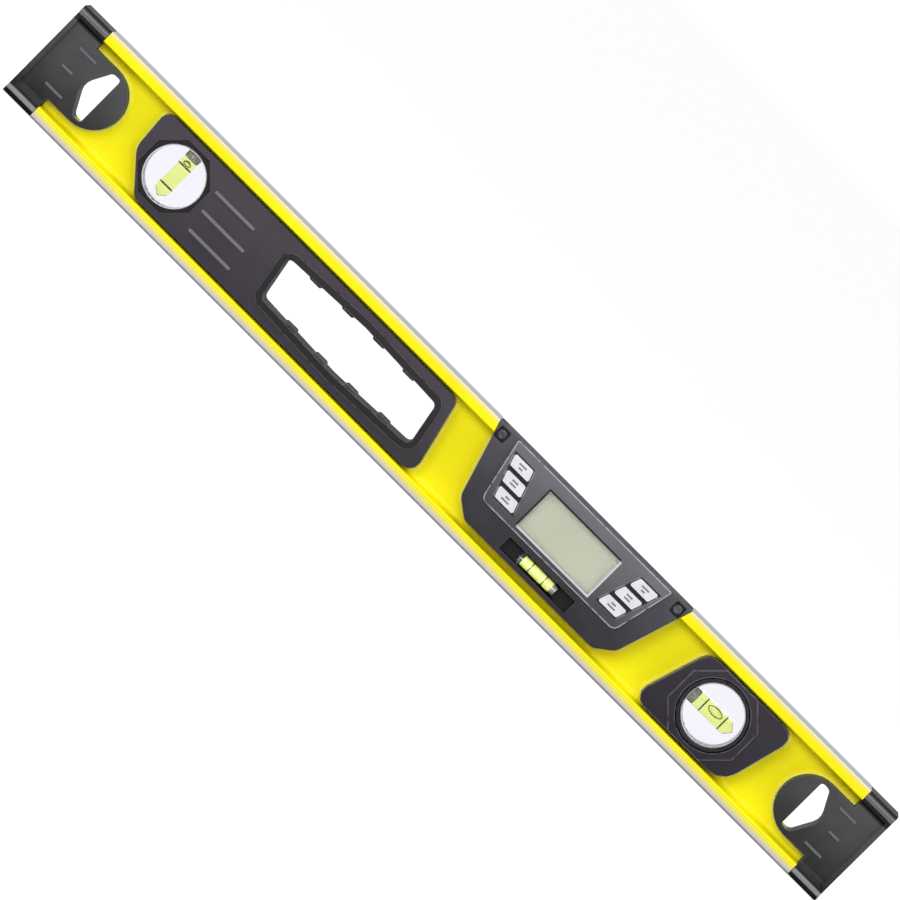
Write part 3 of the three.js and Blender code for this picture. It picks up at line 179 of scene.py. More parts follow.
def build_painted_light_height():
    """How far up the level a point lies, from 0 at the bottom face to 1 at the top, for painted
    light that is darker low and lighter high.
    """
    group, given, result = effect("painted_light_height", {"Bottom": 0.0, "Top": 0.06},
                                  {"Share": "NodeSocketFloat"})
    place = put(group, "SeparateXYZ", {0: put(group, "TexCoord").outputs["Object"]})
    share = put(group, "MapRange", {"Value": place.outputs["Z"], "From Min": given.outputs["Bottom"],
                                    "From Max": given.outputs["Top"]})
    group.links.new(share.outputs[0], result.inputs["Share"])
    return group


surface_grain = build_surface_grain()
painted_light_height = build_painted_light_height()
edge_wear_and_highlight = build_edge_wear_and_highlight()
brushed_lines = build_brushed_lines()


def new_material(name):
    """An empty material with its node tree and its Principled shader."""
    made = bpy.data.materials.new(name)
    made.use_nodes = True
    return made, made.node_tree, made.node_tree.nodes["Principled BSDF"]


def give_bump(tree, shader, height, strength, distance):
    """Relief from a height mask, distance being its full depth in metres."""
    bump = put(tree, "Bump", {"Height": height, "Strength": strength, "Distance": distance})
    tree.links.new(bump.outputs[0], shader.inputs["Normal"])


def varied(tree, value, low, high):
    """A mask from 0 to 1 spread over a range of values."""
    return put(tree, "MapRange", {"Value": value, "From Min": 0.3, "From Max": 0.7,
                                  "To Min": low, "To Max": high}).outputs[0]


def powder_coated_aluminium():
    made, tree, shader = new_material("powder_coated_aluminium")
    grain = use(tree, surface_grain, grain_scale=1100.0, patch_scale=26.0)
    wear_and_highlight = use(tree, edge_wear_and_highlight, reach=0.5 * MM, amount=0.25)
    lines = use(tree, brushed_lines)
    place = put(tree, "SeparateXYZ", {0: put(tree, "TexCoord").outputs["Object"]})
    height = place.outputs["Z"]
    below = put(tree, "MapRange", {"Value": height, "From Min": BOTTOM_BAND[1],
                                   "From Max": BOTTOM_BAND[0]}).outputs[0]
    above = put(tree, "MapRange", {"Value": height, "From Min": cad_high.z - TOP_BAND[1],
                                   "From Max": cad_high.z - TOP_BAND[0]}).outputs[0]
    on_top = math_node(tree, "GREATER_THAN", height, cad_high.z - MILLED_DEPTH)
    milled = math_node(tree, "MAXIMUM", math_node(tree, "MAXIMUM", below, above), on_top)
    bare = math_node(tree, "MAXIMUM", milled, wear_and_highlight.outputs["Mask"])
    depth = math_node(tree, "ABSOLUTE", place.outputs["Y"])
    above_foot = put(tree, "MapRange", {"Value": depth, "From Min": WEB_HALF + LIP_FOOT[0],
                                        "From Max": WEB_HALF + LIP_FOOT[1]}).outputs[0]
    below_crest = put(tree, "MapRange", {"Value": depth, "From Min": WEB_HALF + LIP_CREST[1],
                                         "From Max": WEB_HALF + LIP_CREST[0]}).outputs[0]
    from_middle = math_node(tree, "ABSOLUTE", math_node(tree, "SUBTRACT", height, MIDDLE_HEIGHT))
    clear_of_flange = math_node(tree, "LESS_THAN", from_middle, LIP_REACH)
    on_lip = math_node(tree, "MULTIPLY", above_foot, below_crest)
    # painted highlight along the crest of each lip
    lip_highlight = math_node(tree, "MULTIPLY", on_lip, clear_of_flange)
    coat = blend_colours(tree, varied(tree, grain.outputs["Tone"], 0.0, 1.0),
                         linear(*COAT_YELLOW), linear(*COAT_SHADE))
    coat = blend_colours(tree, lip_highlight, coat, linear(*LIP_HIGHLIGHT_YELLOW))
    colour = blend_colours(tree, bare, coat, linear(*BARE_ALUMINIUM))
    tree.links.new(colour, shader.inputs["Base Color"])
    tree.links.new(math_node(tree, "MULTIPLY", bare, 0.3), shader.inputs["Metallic"])
    coat_gloss = varied(tree, grain.outputs["Tone"], 0.34, 0.44)
    metal_gloss = varied(tree, lines.outputs["Height"], 0.46, 0.6)
    gloss = put(tree, "Mix", {0: bare, 2: coat_gloss, 3: metal_gloss}, data_type="FLOAT")
    tree.links.new(gloss.outputs[0], shader.inputs["Roughness"])
    shader.inputs["Specular IOR Level"].default_value = 0.13
    relief = put(tree, "Mix", {0: milled, 2: grain.outputs["Height"], 3: lines.outputs["Height"]},
                 data_type="FLOAT")
    give_bump(tree, shader, relief.outputs[0], 0.2, 0.03 * MM)
    return made


def paint(piece, *finishes):
    """Gives a piece its materials."""
    piece.data.materials.clear()
    for one in finishes:
        piece.data.materials.append(one)


def soften(piece, width, segments=2, whole_flats=True):
    """Rounds the sharp edges of a piece and shades it smooth between them."""
    if whole_flats:
        flats = piece.modifiers.new("whole_flats", "DECIMATE")
        flats.decimate_type = "DISSOLVE"
        flats.angle_limit = math.radians(0.4)
    rounding = piece.modifiers.new("rounded_edges", "BEVEL")
    rounding.width = width
    rounding.segments = segments
    rounding.limit_method = "ANGLE"
    rounding.angle_limit = math.radians(38)
    rounding.use_clamp_overlap = True
    rounding.miter_outer = "MITER_ARC"
    piece.data.shade_smooth()
    normals = piece.modifiers.new("flat_faces_stay_flat", "WEIGHTED_NORMAL")
    normals.keep_sharp = True


soften(nodes["frame"], FRAME_EDGE, whole_flats=False)
paint(nodes["frame"], powder_coated_aluminium())

# ---------------------------------------------------------------------------------------------
# End caps: black moulded nylon, pushed into the ends of the beam so that the web slides into
# grooves in the tongue. Each has a hang hole and three short ribs for a thumb.

CAP_EDGE = 0.45 * MM
CAP_FACE_DEPTH = 5.2 * MM        # of the face behind the cap's own flanges
CAP_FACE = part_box("end_cap_left")[1].y - CAP_FACE_DEPTH
CAP_RIB_REACH = 18 * MM
CAP_PAINTED_LIGHT = (0.02, 3.1)           # painted light: tone at the bottom and top of the level, darker low and lighter high
BAND_BLUR = 0.1 * MM
WALL_PAINTED_SHADE = (14, 13, 15)        # painted shade: moulded side walls painted near-black where shade falls
CAP_PAINTED_BANDS = ((22.6 * MM, 26.1 * MM, WALL_PAINTED_SHADE),        # painted shadow in the groove inside the ridge
             (26.4 * MM, 28.9 * MM, (122, 122, 126)),   # painted highlight on the ridge
             (29.9 * MM, 40 * MM, WALL_PAINTED_SHADE))          # painted shade on the outer edge


def moulded_plastic(name, colour, worn_and_lit, roughness=0.42, grain=2400.0, wear_and_highlight=0.35, reach=0.7,
                    painted_light=(0.6, 1.35)):
    """Textured plastic with rubbed edges, which are a painted highlight where strong. Its tone is
    scaled from bottom to top as painted light, darker low and lighter high.
    """
    made, tree, shader = new_material(name)
    texture = use(tree, surface_grain, grain_scale=grain, patch_scale=55.0)
    rubbed_and_lit = use(tree, edge_wear_and_highlight, reach=reach * MM, amount=wear_and_highlight)
    shader.inputs["Specular IOR Level"].default_value = 0.25
    # painted light: a darker copy of the colour at the bottom and a lighter copy at the top
    darker = [channel * painted_light[0] for channel in linear(*colour)[:3]] + [1.0]
    lit_copy = [channel * painted_light[1] for channel in linear(*colour)[:3]] + [1.0]
    rise = use(tree, painted_light_height, bottom=cad_low.z, top=cad_high.z).outputs["Share"]
    uneven = varied(tree, texture.outputs["Tone"], -0.12, 0.12)
    body = blend_colours(tree, math_node(tree, "ADD", rise, uneven, clamp=True), darker, lit_copy)
    shade = blend_colours(tree, rubbed_and_lit.outputs["Mask"], body, linear(*worn_and_lit))
    tree.links.new(shade, shader.inputs["Base Color"])
    gloss = varied(tree, texture.outputs["Tone"], roughness - 0.06, roughness + 0.07)
    tree.links.new(gloss, shader.inputs["Roughness"])
    give_bump(tree, shader, texture.outputs["Height"], 0.45, 0.06 * MM)
    return made


def banded(finish, start, end, colour, reach=1.0, lengthwise=False):
    """Gives the finish another colour on what lies between two distances from the web.

    reach is how far above and below the middle of the level the band runs, in metres. A
    lengthwise band is measured from that middle instead, so it runs along the level.
    """
    tree = finish.node_tree
    shader = tree.nodes["Principled BSDF"]
    body = shader.inputs["Base Color"].links[0].from_socket
    place = put(tree, "SeparateXYZ", {0: put(tree, "TexCoord").outputs["Object"]})
    from_web = math_node(tree, "ABSOLUTE", place.outputs["Y"])
    from_middle = math_node(tree, "ABSOLUTE",
                            math_node(tree, "SUBTRACT", place.outputs["Z"], MIDDLE_HEIGHT))
    measured = from_middle if lengthwise else from_web
    past_start = put(tree, "MapRange", {"Value": measured, "From Min": start - BAND_BLUR,
                                        "From Max": start}).outputs[0]
    short_of_end = put(tree, "MapRange", {"Value": measured, "From Min": end + BAND_BLUR,
                                          "From Max": end}).outputs[0]
    inside = math_node(tree, "LESS_THAN", from_middle, reach)
    between = math_node(tree, "MULTIPLY", past_start, short_of_end)
    mask = math_node(tree, "MULTIPLY", between, inside)
    tree.links.new(blend_colours(tree, mask, body, linear(*colour)), shader.inputs["Base Color"])


cap_plastic = moulded_plastic("cap_plastic", (44, 44, 46), (112, 112, 116), painted_light=CAP_PAINTED_LIGHT)
# painted highlight on the tops of the thumb ribs
banded(cap_plastic, CAP_FACE + 0.4 * MM, CAP_FACE + MM, (104, 104, 108), CAP_RIB_REACH)
# painted shade on the walls below the cap's face, round its hang hole too
banded(cap_plastic, 0.0, CAP_FACE - 0.5 * MM, WALL_PAINTED_SHADE)
# painted shadow and highlight along the cap's flanges
for start, end, tone in CAP_PAINTED_BANDS:
    banded(cap_plastic, start, end, tone, lengthwise=True)
for side in ("left", "right"):
    cap = nodes[f"end_cap_{side}"]
    soften(cap, CAP_EDGE, 3)
    paint(cap, cap_plastic)

# ---------------------------------------------------------------------------------------------
# Handle insert: two moulded halves screwed together through the web, with the top of each
# raised rib paler.

INSERT_EDGE = 0.4 * MM
INSERT_WALL = 0.6 * MM           # below the face, where the painted shade on the wall starts
RIB_HEIGHT = 0.8 * MM
RIB_PALE_TOP = 0.3 * MM             # depth of the paler top of a rib

rib_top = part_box("handle_rear_shell")[1].y
insert_face = rib_top - RIB_HEIGHT
handle_plastic = moulded_plastic("handle_plastic", (56, 51, 58), (104, 100, 108))
banded(handle_plastic, rib_top - RIB_PALE_TOP, rib_top + MM, (112, 109, 117))
# painted shade on the insert's side walls
banded(handle_plastic, 0.0, insert_face - INSERT_WALL, WALL_PAINTED_SHADE)
for half in ("front", "rear"):
    shell = nodes[f"handle_{half}_shell"]
    soften(shell, INSERT_EDGE)
    paint(shell, handle_plastic)

# ---------------------------------------------------------------------------------------------
# Grip liner: black rubber moulded over the edge of the hand hole, with low bumps for fingers. Its
# lip holds it in the insert on both sides.

LINER_EDGE = 0.55 * MM

# Its paler edges are partly wear and mostly a painted highlight along the lip.
grip_rubber = moulded_plastic("grip_rubber", (26, 26, 29), (120, 120, 126), roughness=0.5,
                              grain=1500.0, wear_and_highlight=0.7, reach=0.9)
soften(nodes["handle_grip_liner"], LINER_EDGE, 3)
paint(nodes["handle_grip_liner"], grip_rubber)

# ---------------------------------------------------------------------------------------------
# Round vials: a polished acrylic disc drilled across, filled with tinted spirit, with two black
# rings in the bore and a plug glued into its mouth. Both discs are the same part.

LEVEL = "level_body"
DISC_STEPS = 96
BORE_STEPS = 48
VIAL_FACE_RADIUS = 17.3 * MM
VIAL_COLLAR_HALF = 1.2 * MM
VIAL_CHAMFER = 0.6 * MM
RING_WIDTH = 0.5 * MM
PLUG_CHAMFER = 0.4 * MM
CONE_DEPTH = 0.74                # of the drilled end of the bore, as a share of its radius
CONE_NOSE = (0.35, 0.3)          # radius and depth of its blunt tip, as shares of bore and cone
RING_INSET = 0.02                # of a ring into and out of the bore's wall, as a share of radius
BUBBLE_STEPS = 14
BUBBLE_THICKNESS = 0.62          # as a share of the bore's radius
BUBBLE_FULLNESS = 0.55           # 1 is a pointed lens, less is rounder at the ends
LIQUID_COLOUR = (240, 252, 138)
LIQUID_PALE = (246, 254, 164)
SPIRIT_IN_ACRYLIC = 0.95         # refraction of the spirit against the plastic round it
AIR_IN_SPIRIT = 0.78             # refraction of a bubble against the spirit
SPIRIT_PAINTED_GLOW = 0.6                # painted glow of the spirit in a vial that is seen against black, though it is no lamp


def turn_profile(name, profile, axis, centre, steps):
    """A mesh turned from (radius, position) pairs that start and end on the axis."""
    mesh = bmesh.new()
    along = Vector(axis)
    spoke = Vector((0, 0, 1)) if abs(along.z) < 0.5 else Vector((1, 0, 0))
    across = along.cross(spoke)
    rows = []
    for radius, position in profile:
        if radius == 0:
            rows.append([mesh.verts.new(along * position)])
            continue
        rows.append([mesh.verts.new(along * position + radius * (
            spoke * math.cos(2 * math.pi * k / steps) + across * math.sin(2 * math.pi * k / steps)))
            for k in range(steps)])
    for lower, upper in zip(rows, rows[1:]):
        for k in range(steps):
            a, b = lower[k % len(lower)], lower[(k + 1) % len(lower)]
            c, d = upper[(k + 1) % len(upper)], upper[k % len(upper)]
            corners = list(dict.fromkeys([a, b, c, d]))
            mesh.faces.new(corners)
    bmesh.ops.recalc_face_normals(mesh, faces=mesh.faces)
    data = bpy.data.meshes.new(name)
    mesh.to_mesh(data)
    mesh.free()
    piece = bpy.data.objects.new(name, data)
    bpy.context.scene.collection.objects.link(piece)
    data.transform(Matrix.Translation(centre))
    data.shade_smooth()
    data.set_sharp_from_angle(angle=math.radians(35))
    return piece


def stand_for(piece, node, body):
    """The piece rides on a body in place of a CAD node."""
    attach(piece, body)
    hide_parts(node)


def clear_acrylic(name, tint=(236, 234, 242), roughness=0.03):
    """Polished clear plastic with faint handling marks in its gloss."""
    made, tree, shader = new_material(name)
    shader.inputs["Base Color"].default_value = linear(*tint)
    shader.inputs["Transmission Weight"].default_value = 1.0
    shader.inputs["IOR"].default_value = 1.49
    place = put(tree, "TexCoord").outputs["Object"]
    marks = put(tree, "TexNoise", {"Vector": place, "Scale": 160.0, "Detail": 4.0}).outputs[0]
    tree.links.new(varied(tree, marks, roughness * 0.5, roughness * 2), shader.inputs["Roughness"])
    return made


def frosted_acrylic():
    """The sawn, matt rim of a round vial."""
    made, tree, shader = new_material("frosted_acrylic")
    shader.inputs["Transmission Weight"].default_value = 0.35
    grain = use(tree, surface_grain, grain_scale=3000.0, patch_scale=90.0)
    white = blend_colours(tree, varied(tree, grain.outputs["Tone"], 0.0, 1.0),
                          linear(240, 240, 246), linear(252, 252, 254))
    tree.links.new(white, shader.inputs["Base Color"])
    tree.links.new(varied(tree, grain.outputs["Tone"], 0.4, 0.55), shader.inputs["Roughness"])
    give_bump(tree, shader, grain.outputs["Height"], 0.3, 0.03 * MM)
    return made


def tinted_spirit(name, clear):
    """Yellow-green spirit: clear is how much of the light goes through it; the rest is given as a
    painted glow.
    """
    made, tree, shader = new_material(name)
    place = put(tree, "TexCoord").outputs["Object"]
    cloud = put(tree, "TexNoise", {"Vector": place, "Scale": 120.0, "Detail": 3.0}).outputs[0]
    colour = blend_colours(tree, varied(tree, cloud, 0.0, 1.0),
                           linear(*LIQUID_COLOUR), linear(*LIQUID_PALE))
    tree.links.new(colour, shader.inputs["Base Color"])
    shader.inputs["Transmission Weight"].default_value = clear
    shader.inputs["IOR"].default_value = SPIRIT_IN_ACRYLIC
    tree.links.new(varied(tree, cloud, 0.04, 0.1), shader.inputs["Roughness"])
    # painted glow: the spirit emits its own colour where it lets little light through, though it is
    # no lamp
    tree.links.new(colour, shader.inputs["Emission Color"])
    shader.inputs["Emission Strength"].default_value = (1 - clear) * SPIRIT_PAINTED_GLOW
    return made


def plain_plastic(name, colour, roughness=0.4, transmission=0.0):
    """Smooth plastic, rubber or ink with a slow change of tone."""
    made, tree, shader = new_material(name)
    grain = use(tree, surface_grain, grain_scale=3500.0, patch_scale=150.0)
    darker = [channel * 0.86 for channel in linear(*colour)[:3]] + [1.0]
    shade = blend_colours(tree, varied(tree, grain.outputs["Tone"], 0.0, 1.0),
                          darker, linear(*colour))
    tree.links.new(shade, shader.inputs["Base Color"])
    tree.links.new(varied(tree, grain.outputs["Tone"], roughness - 0.05, roughness + 0.05),
                   shader.inputs["Roughness"])
    shader.inputs["Transmission Weight"].default_value = transmission
    give_bump(tree, shader, grain.outputs["Height"], 0.2, 0.02 * MM)
    return made


acrylic = clear_acrylic("clear_acrylic")
frosted = frosted_acrylic()
spirit = tinted_spirit("tinted_spirit", 1.0)
plug_plastic = plain_plastic("plug_plastic", (190, 194, 172), 0.3, 0.25)
ring_ink = plain_plastic("ring_ink", (46, 50, 34), 0.5)
bubble_air = clear_acrylic("bubble_air", (252, 254, 236), 0.01)
bubble_air.node_tree.nodes["Principled BSDF"].inputs["IOR"].default_value = AIR_IN_SPIRIT


def middle_of(node):
    """The middle of a CAD node's box."""
    low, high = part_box(node)
    return (low + high) / 2


def round_vial(name, body, up, bubble_from, bubble_to, bubble_lift):
    """One round vial with its rings, plug and bubble. up points along the bore to its plug."""
    low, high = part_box(f"{name}_block")
    centre = (low + high) / 2
    half = (high.y - low.y) / 2
    collar = (high.x - low.x + high.z - low.z) / 4
    up = Vector(up)
    radius = VIAL_FACE_RADIUS
    disc = turn_profile(f"{name}_disc", [
        (0, -half), (radius - VIAL_CHAMFER, -half), (radius, -half + VIAL_CHAMFER * 0.8),
        (radius, -VIAL_COLLAR_HALF), (collar, -VIAL_COLLAR_HALF), (collar, VIAL_COLLAR_HALF),
        (radius, VIAL_COLLAR_HALF), (radius, half - VIAL_CHAMFER * 0.8),
        (radius - VIAL_CHAMFER, half), (0, half)], (0, 1, 0), centre, DISC_STEPS)
    paint(disc, acrylic, frosted)
    for face in disc.data.polygons:
        spread = math.hypot(face.center.x - centre.x, face.center.z - centre.z)
        face.material_index = 1 if spread > radius - VIAL_CHAMFER else 0
    stand_for(disc, f"{name}_block", body)
    liquid_low, liquid_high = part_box(f"{name}_liquid")
    ends = sorted(up.dot(corner - centre) for corner in (liquid_low, liquid_high))
    bore = (liquid_high.y - liquid_low.y) / 2
    taper = bore * CONE_DEPTH
    nose_radius, nose_depth = CONE_NOSE
    liquid = turn_profile(f"{name}_spirit", [
        (0, ends[0]), (bore * nose_radius, ends[0] + taper * nose_depth),
        (bore, ends[0] + taper), (bore, ends[1]), (0, ends[1])], up, centre, BORE_STEPS)
    paint(liquid, spirit)
    stand_for(liquid, f"{name}_liquid", body)
    for place in ("lower", "upper"):
        ring_node = f"{name}_ring_{place}"
        at = up.dot(middle_of(ring_node) - centre)
        reach = RING_WIDTH / 2
        inner, outer = bore * (1 - RING_INSET), bore * (1 + RING_INSET)
        ring = turn_profile(f"{ring_node}_line", [
            (inner, at - reach), (outer, at - reach), (outer, at + reach), (inner, at + reach),
            (inner, at - reach)], up, centre, BORE_STEPS)
        paint(ring, ring_ink)
        stand_for(ring, ring_node, body)
    plug_ends = [up.dot(corner - centre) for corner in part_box(f"{name}_plug")]
    plug_low, plug_high = min(plug_ends), max(plug_ends)
    socket = bore / 3
    plug = turn_profile(f"{name}_stopper", [
        (0, plug_low), (bore * 0.9, plug_low), (bore, plug_low + PLUG_CHAMFER), (bore, plug_high),
        (socket, plug_high), (socket, plug_high - MM), (0, plug_high - MM)], up, centre, BORE_STEPS)
    paint(plug, plug_plastic)
    stand_for(plug, f"{name}_plug", body)
    add_bubble(name, body, centre, up, bore, bubble_from, bubble_to, bubble_lift)


def add_bubble(name, body, centre, up, bore, start, end, lift):
    """Air in the bore: a rounded lozenge from start to end along up, raised towards +Z by lift."""
    length = end - start
    thick = bore * BUBBLE_THICKNESS
    profile = [(0, start)]
    for k in range(1, BUBBLE_STEPS):
        t = k / BUBBLE_STEPS
        profile.append((thick * math.sin(math.pi * t) ** BUBBLE_FULLNESS, start + length * t))
    profile.append((0, end))
    raised = centre + Vector((0, 0, lift))
    bubble = turn_profile(f"{name}_bubble", profile, up, raised, BORE_STEPS)
    paint(bubble, bubble_air)
    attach(bubble, body)


round_vial("plumb_vial", LEVEL, (0, 0, 1), 7.4 * MM, 11.0 * MM, 0.0)

# ---------------------------------------------------------------------------------------------
# Screws: zinc-plated steel, driven in from behind, and two from the front in the module's top
# corners.

SCREW_EDGE = 0.25 * MM


def plated_steel(name, dull, bright):
    """Plated metal with a fine grain, between two tones."""
    made, tree, shader = new_material(name)
    grain = use(tree, surface_grain, grain_scale=1800.0, patch_scale=300.0)
    colour = blend_colours(tree, varied(tree, grain.outputs["Tone"], 0.0, 1.0),
                           linear(*dull), linear(*bright))
    tree.links.new(colour, shader.inputs["Base Color"])
    shader.inputs["Metallic"].default_value = 1.0
    tree.links.new(varied(tree, grain.outputs["Tone"], 0.25, 0.45), shader.inputs["Roughness"])
    give_bump(tree, shader, grain.outputs["Height"], 0.2, 0.03 * MM)
    return made


steel = plated_steel("zinc_plated_steel", (168, 166, 160), (200, 200, 204))
# painted shade: a darker copy of the steel for the two screws in the module's top corners, for the
# shade in their recesses
shaded_steel = plated_steel("shaded_plated_steel", (70, 70, 72), (96, 96, 99))
for name, node in nodes.items():
    if "screw" in name:
        soften(node, SCREW_EDGE)
        paint(node, shaded_steel if "top" in name else steel)

# ---------------------------------------------------------------------------------------------
# Angle insert: two moulded halves with a raised eight-sided collar round the turning dial, held
# together by screws from behind like the handle insert.

# Its paler edges are partly wear and mostly a painted highlight on the collar's edges.
collar_plastic = moulded_plastic("collar_plastic", (39, 33, 44), (132, 129, 137), wear_and_highlight=0.7,
                                 reach=1.0)
# painted shade on the insert's side walls
banded(collar_plastic, 0.0, insert_face - INSERT_WALL, WALL_PAINTED_SHADE)
for half in ("front", "rear"):
    shell = nodes[f"angle_{half}_shell"]
    soften(shell, INSERT_EDGE)
    paint(shell, collar_plastic)

# ---------------------------------------------------------------------------------------------
# Dial: two moulded rings that hold the angle vial and turn with it, with grip notches round the
# face, and a rubber washer behind the front ring that keeps it where it is set.

DIAL = "angle_dial"
DIAL_STEPS = 192
DIAL_GAP = 0.3 * MM              # round the face of the vial
DIAL_INSET = 1.4 * MM            # of the ring inside its flange
DIAL_INNER_BEVEL = 0.6 * MM
DIAL_OUTER_BEVEL = 0.5 * MM
DIAL_SEAT = 1.5 * MM             # depth and height of the step that holds the vial's collar
DIAL_FLANGE = (0.15 * MM, 2.0 * MM)   # distances of its two faces from the web's middle
NOTCH_COUNT = 16
NOTCH_DEPTH = 0.45 * MM
NOTCH_RIM = 0.7 * MM             # how deep the notched rim goes inwards
NOTCH_LENGTH = 1.6 * MM          # and back from the face
NOTCH_START = 2.5 * MM           # never nearer to the web than this

dial_plastic = moulded_plastic("dial_plastic", (26, 26, 29), (110, 110, 116))


def dial_ring(half, out):
    """One ring of the dial, on the side of the web that out (-1 or 1) points to."""
    node = f"angle_dial_{half}"
    low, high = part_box(node)
    centre = (low + high) / 2
    centre.y = 0
    flange = (high.x - low.x) / 2
    face = high.y if out > 0 else -low.y
    inner = VIAL_FACE_RADIUS + DIAL_GAP
    outer = flange - DIAL_INSET
    back, front = DIAL_FLANGE
    profile = [
        (inner, DIAL_SEAT), (inner, face - DIAL_INNER_BEVEL), (inner + DIAL_INNER_BEVEL, face),
        (outer - DIAL_OUTER_BEVEL, face), (outer, face - DIAL_OUTER_BEVEL), (outer, front),
        (flange, front), (flange, back), (inner + DIAL_SEAT, back), (inner + DIAL_SEAT, DIAL_SEAT),
        (inner, DIAL_SEAT)]
    ring = turn_profile(f"{node}_ring", profile, (0, out, 0), centre, DIAL_STEPS)
    for vertex in ring.data.vertices:
        spoke = Vector((vertex.co.x - centre.x, 0, vertex.co.z - centre.z))
        depth = abs(vertex.co.y)
        if spoke.length > outer - NOTCH_RIM and depth > max(face - NOTCH_LENGTH, NOTCH_START):
            wave = math.cos(math.atan2(spoke.z, spoke.x) * NOTCH_COUNT)
            dip = NOTCH_DEPTH * max(wave, 0.0) ** 6
            vertex.co -= spoke.normalized() * dip
    paint(ring, dial_plastic)
    stand_for(ring, node, DIAL)


dial_ring("front", -1)
dial_ring("rear", 1)
paint(nodes["dial_friction_washer"], grip_rubber)
round_vial("angle_vial", DIAL, (-1, 0, 0), -5.2 * MM, 5.2 * MM, 1.5 * MM)

# ---------------------------------------------------------------------------------------------
# Module housing: two moulded halves with a rubber seal between them, screwed together round the
# edge of the cut-out, and a hinged battery door behind.

HOUSING_EDGE = 0.5 * MM
DOOR_EDGE = 0.25 * MM
HOUSING_WALL = 0.7 * MM          # below the face, where the painted shade on the wall starts
# painted light: the housing is darker at the bottom and lighter at the top
MODULE_PAINTED_LIGHT = (0.3, 2.9)

module_plastic = moulded_plastic("module_plastic", (42, 41, 46), (112, 110, 118),
                                 painted_light=MODULE_PAINTED_LIGHT)
module_face = -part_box("module_front_housing")[0].y
# painted shade on the housing's side walls
banded(module_plastic, 0.0, module_face - HOUSING_WALL, WALL_PAINTED_SHADE)
for name in ("module_front_housing", "module_rear_housing"):
    soften(nodes[name], HOUSING_EDGE, 3)
    paint(nodes[name], module_plastic)
soften(nodes["battery_door"], DOOR_EDGE)
paint(nodes["battery_door"], module_plastic)
paint(nodes["battery_door_pin"], steel)
paint(nodes["module_gasket"], grip_rubber)

# ---------------------------------------------------------------------------------------------
# Display panel: a raised plate with a satin metallic paint, glued to the front of the housing,
# with painted shade behind the keys, and a painted shadow above and a painted highlight below
# the display window.

PANEL_EDGE = 1.0 * MM
PANEL_PALE_EDGE = 1.6 * MM             # width of the pale band along its edges, partly rubbed paint and partly a painted highlight
KEY_BORDER = 0.9 * MM
BORDER_WIDTH = 0.8 * MM          # painted round the display window as a painted shadow above and a painted highlight below
BORDER_SHIFT = 0.6 * MM
KEY_FLANGE_HIDDEN = 0.8 * MM     # how far a key's hidden flange reaches past its cap


def build_slanted_patch():
    """A mask of a four-sided patch of the front whose sides lean."""
    group, given, result = effect(
        "slanted_patch", {"Centre x": 0.0, "Centre z": 0.0, "Slant": 0.0, "Half width": 0.01,
                          "Half height": 0.01}, {"Mask": "NodeSocketFloat"})
    place = put(group, "SeparateXYZ", {0: put(group, "TexCoord").outputs["Object"]})
    rise = math_node(group, "SUBTRACT", place.outputs["Z"], given.outputs["Centre z"])
    lean = math_node(group, "MULTIPLY_ADD", rise, given.outputs["Slant"],
                     given.outputs["Centre x"])
    aside = math_node(group, "ABSOLUTE", math_node(group, "SUBTRACT", place.outputs["X"], lean))
    in_width = math_node(group, "LESS_THAN", aside, given.outputs["Half width"])
    in_height = math_node(group, "LESS_THAN", math_node(group, "ABSOLUTE", rise),
                          given.outputs["Half height"])
    group.links.new(math_node(group, "MULTIPLY", in_width, in_height), result.inputs["Mask"])
    return group


slanted_patch = build_slanted_patch()


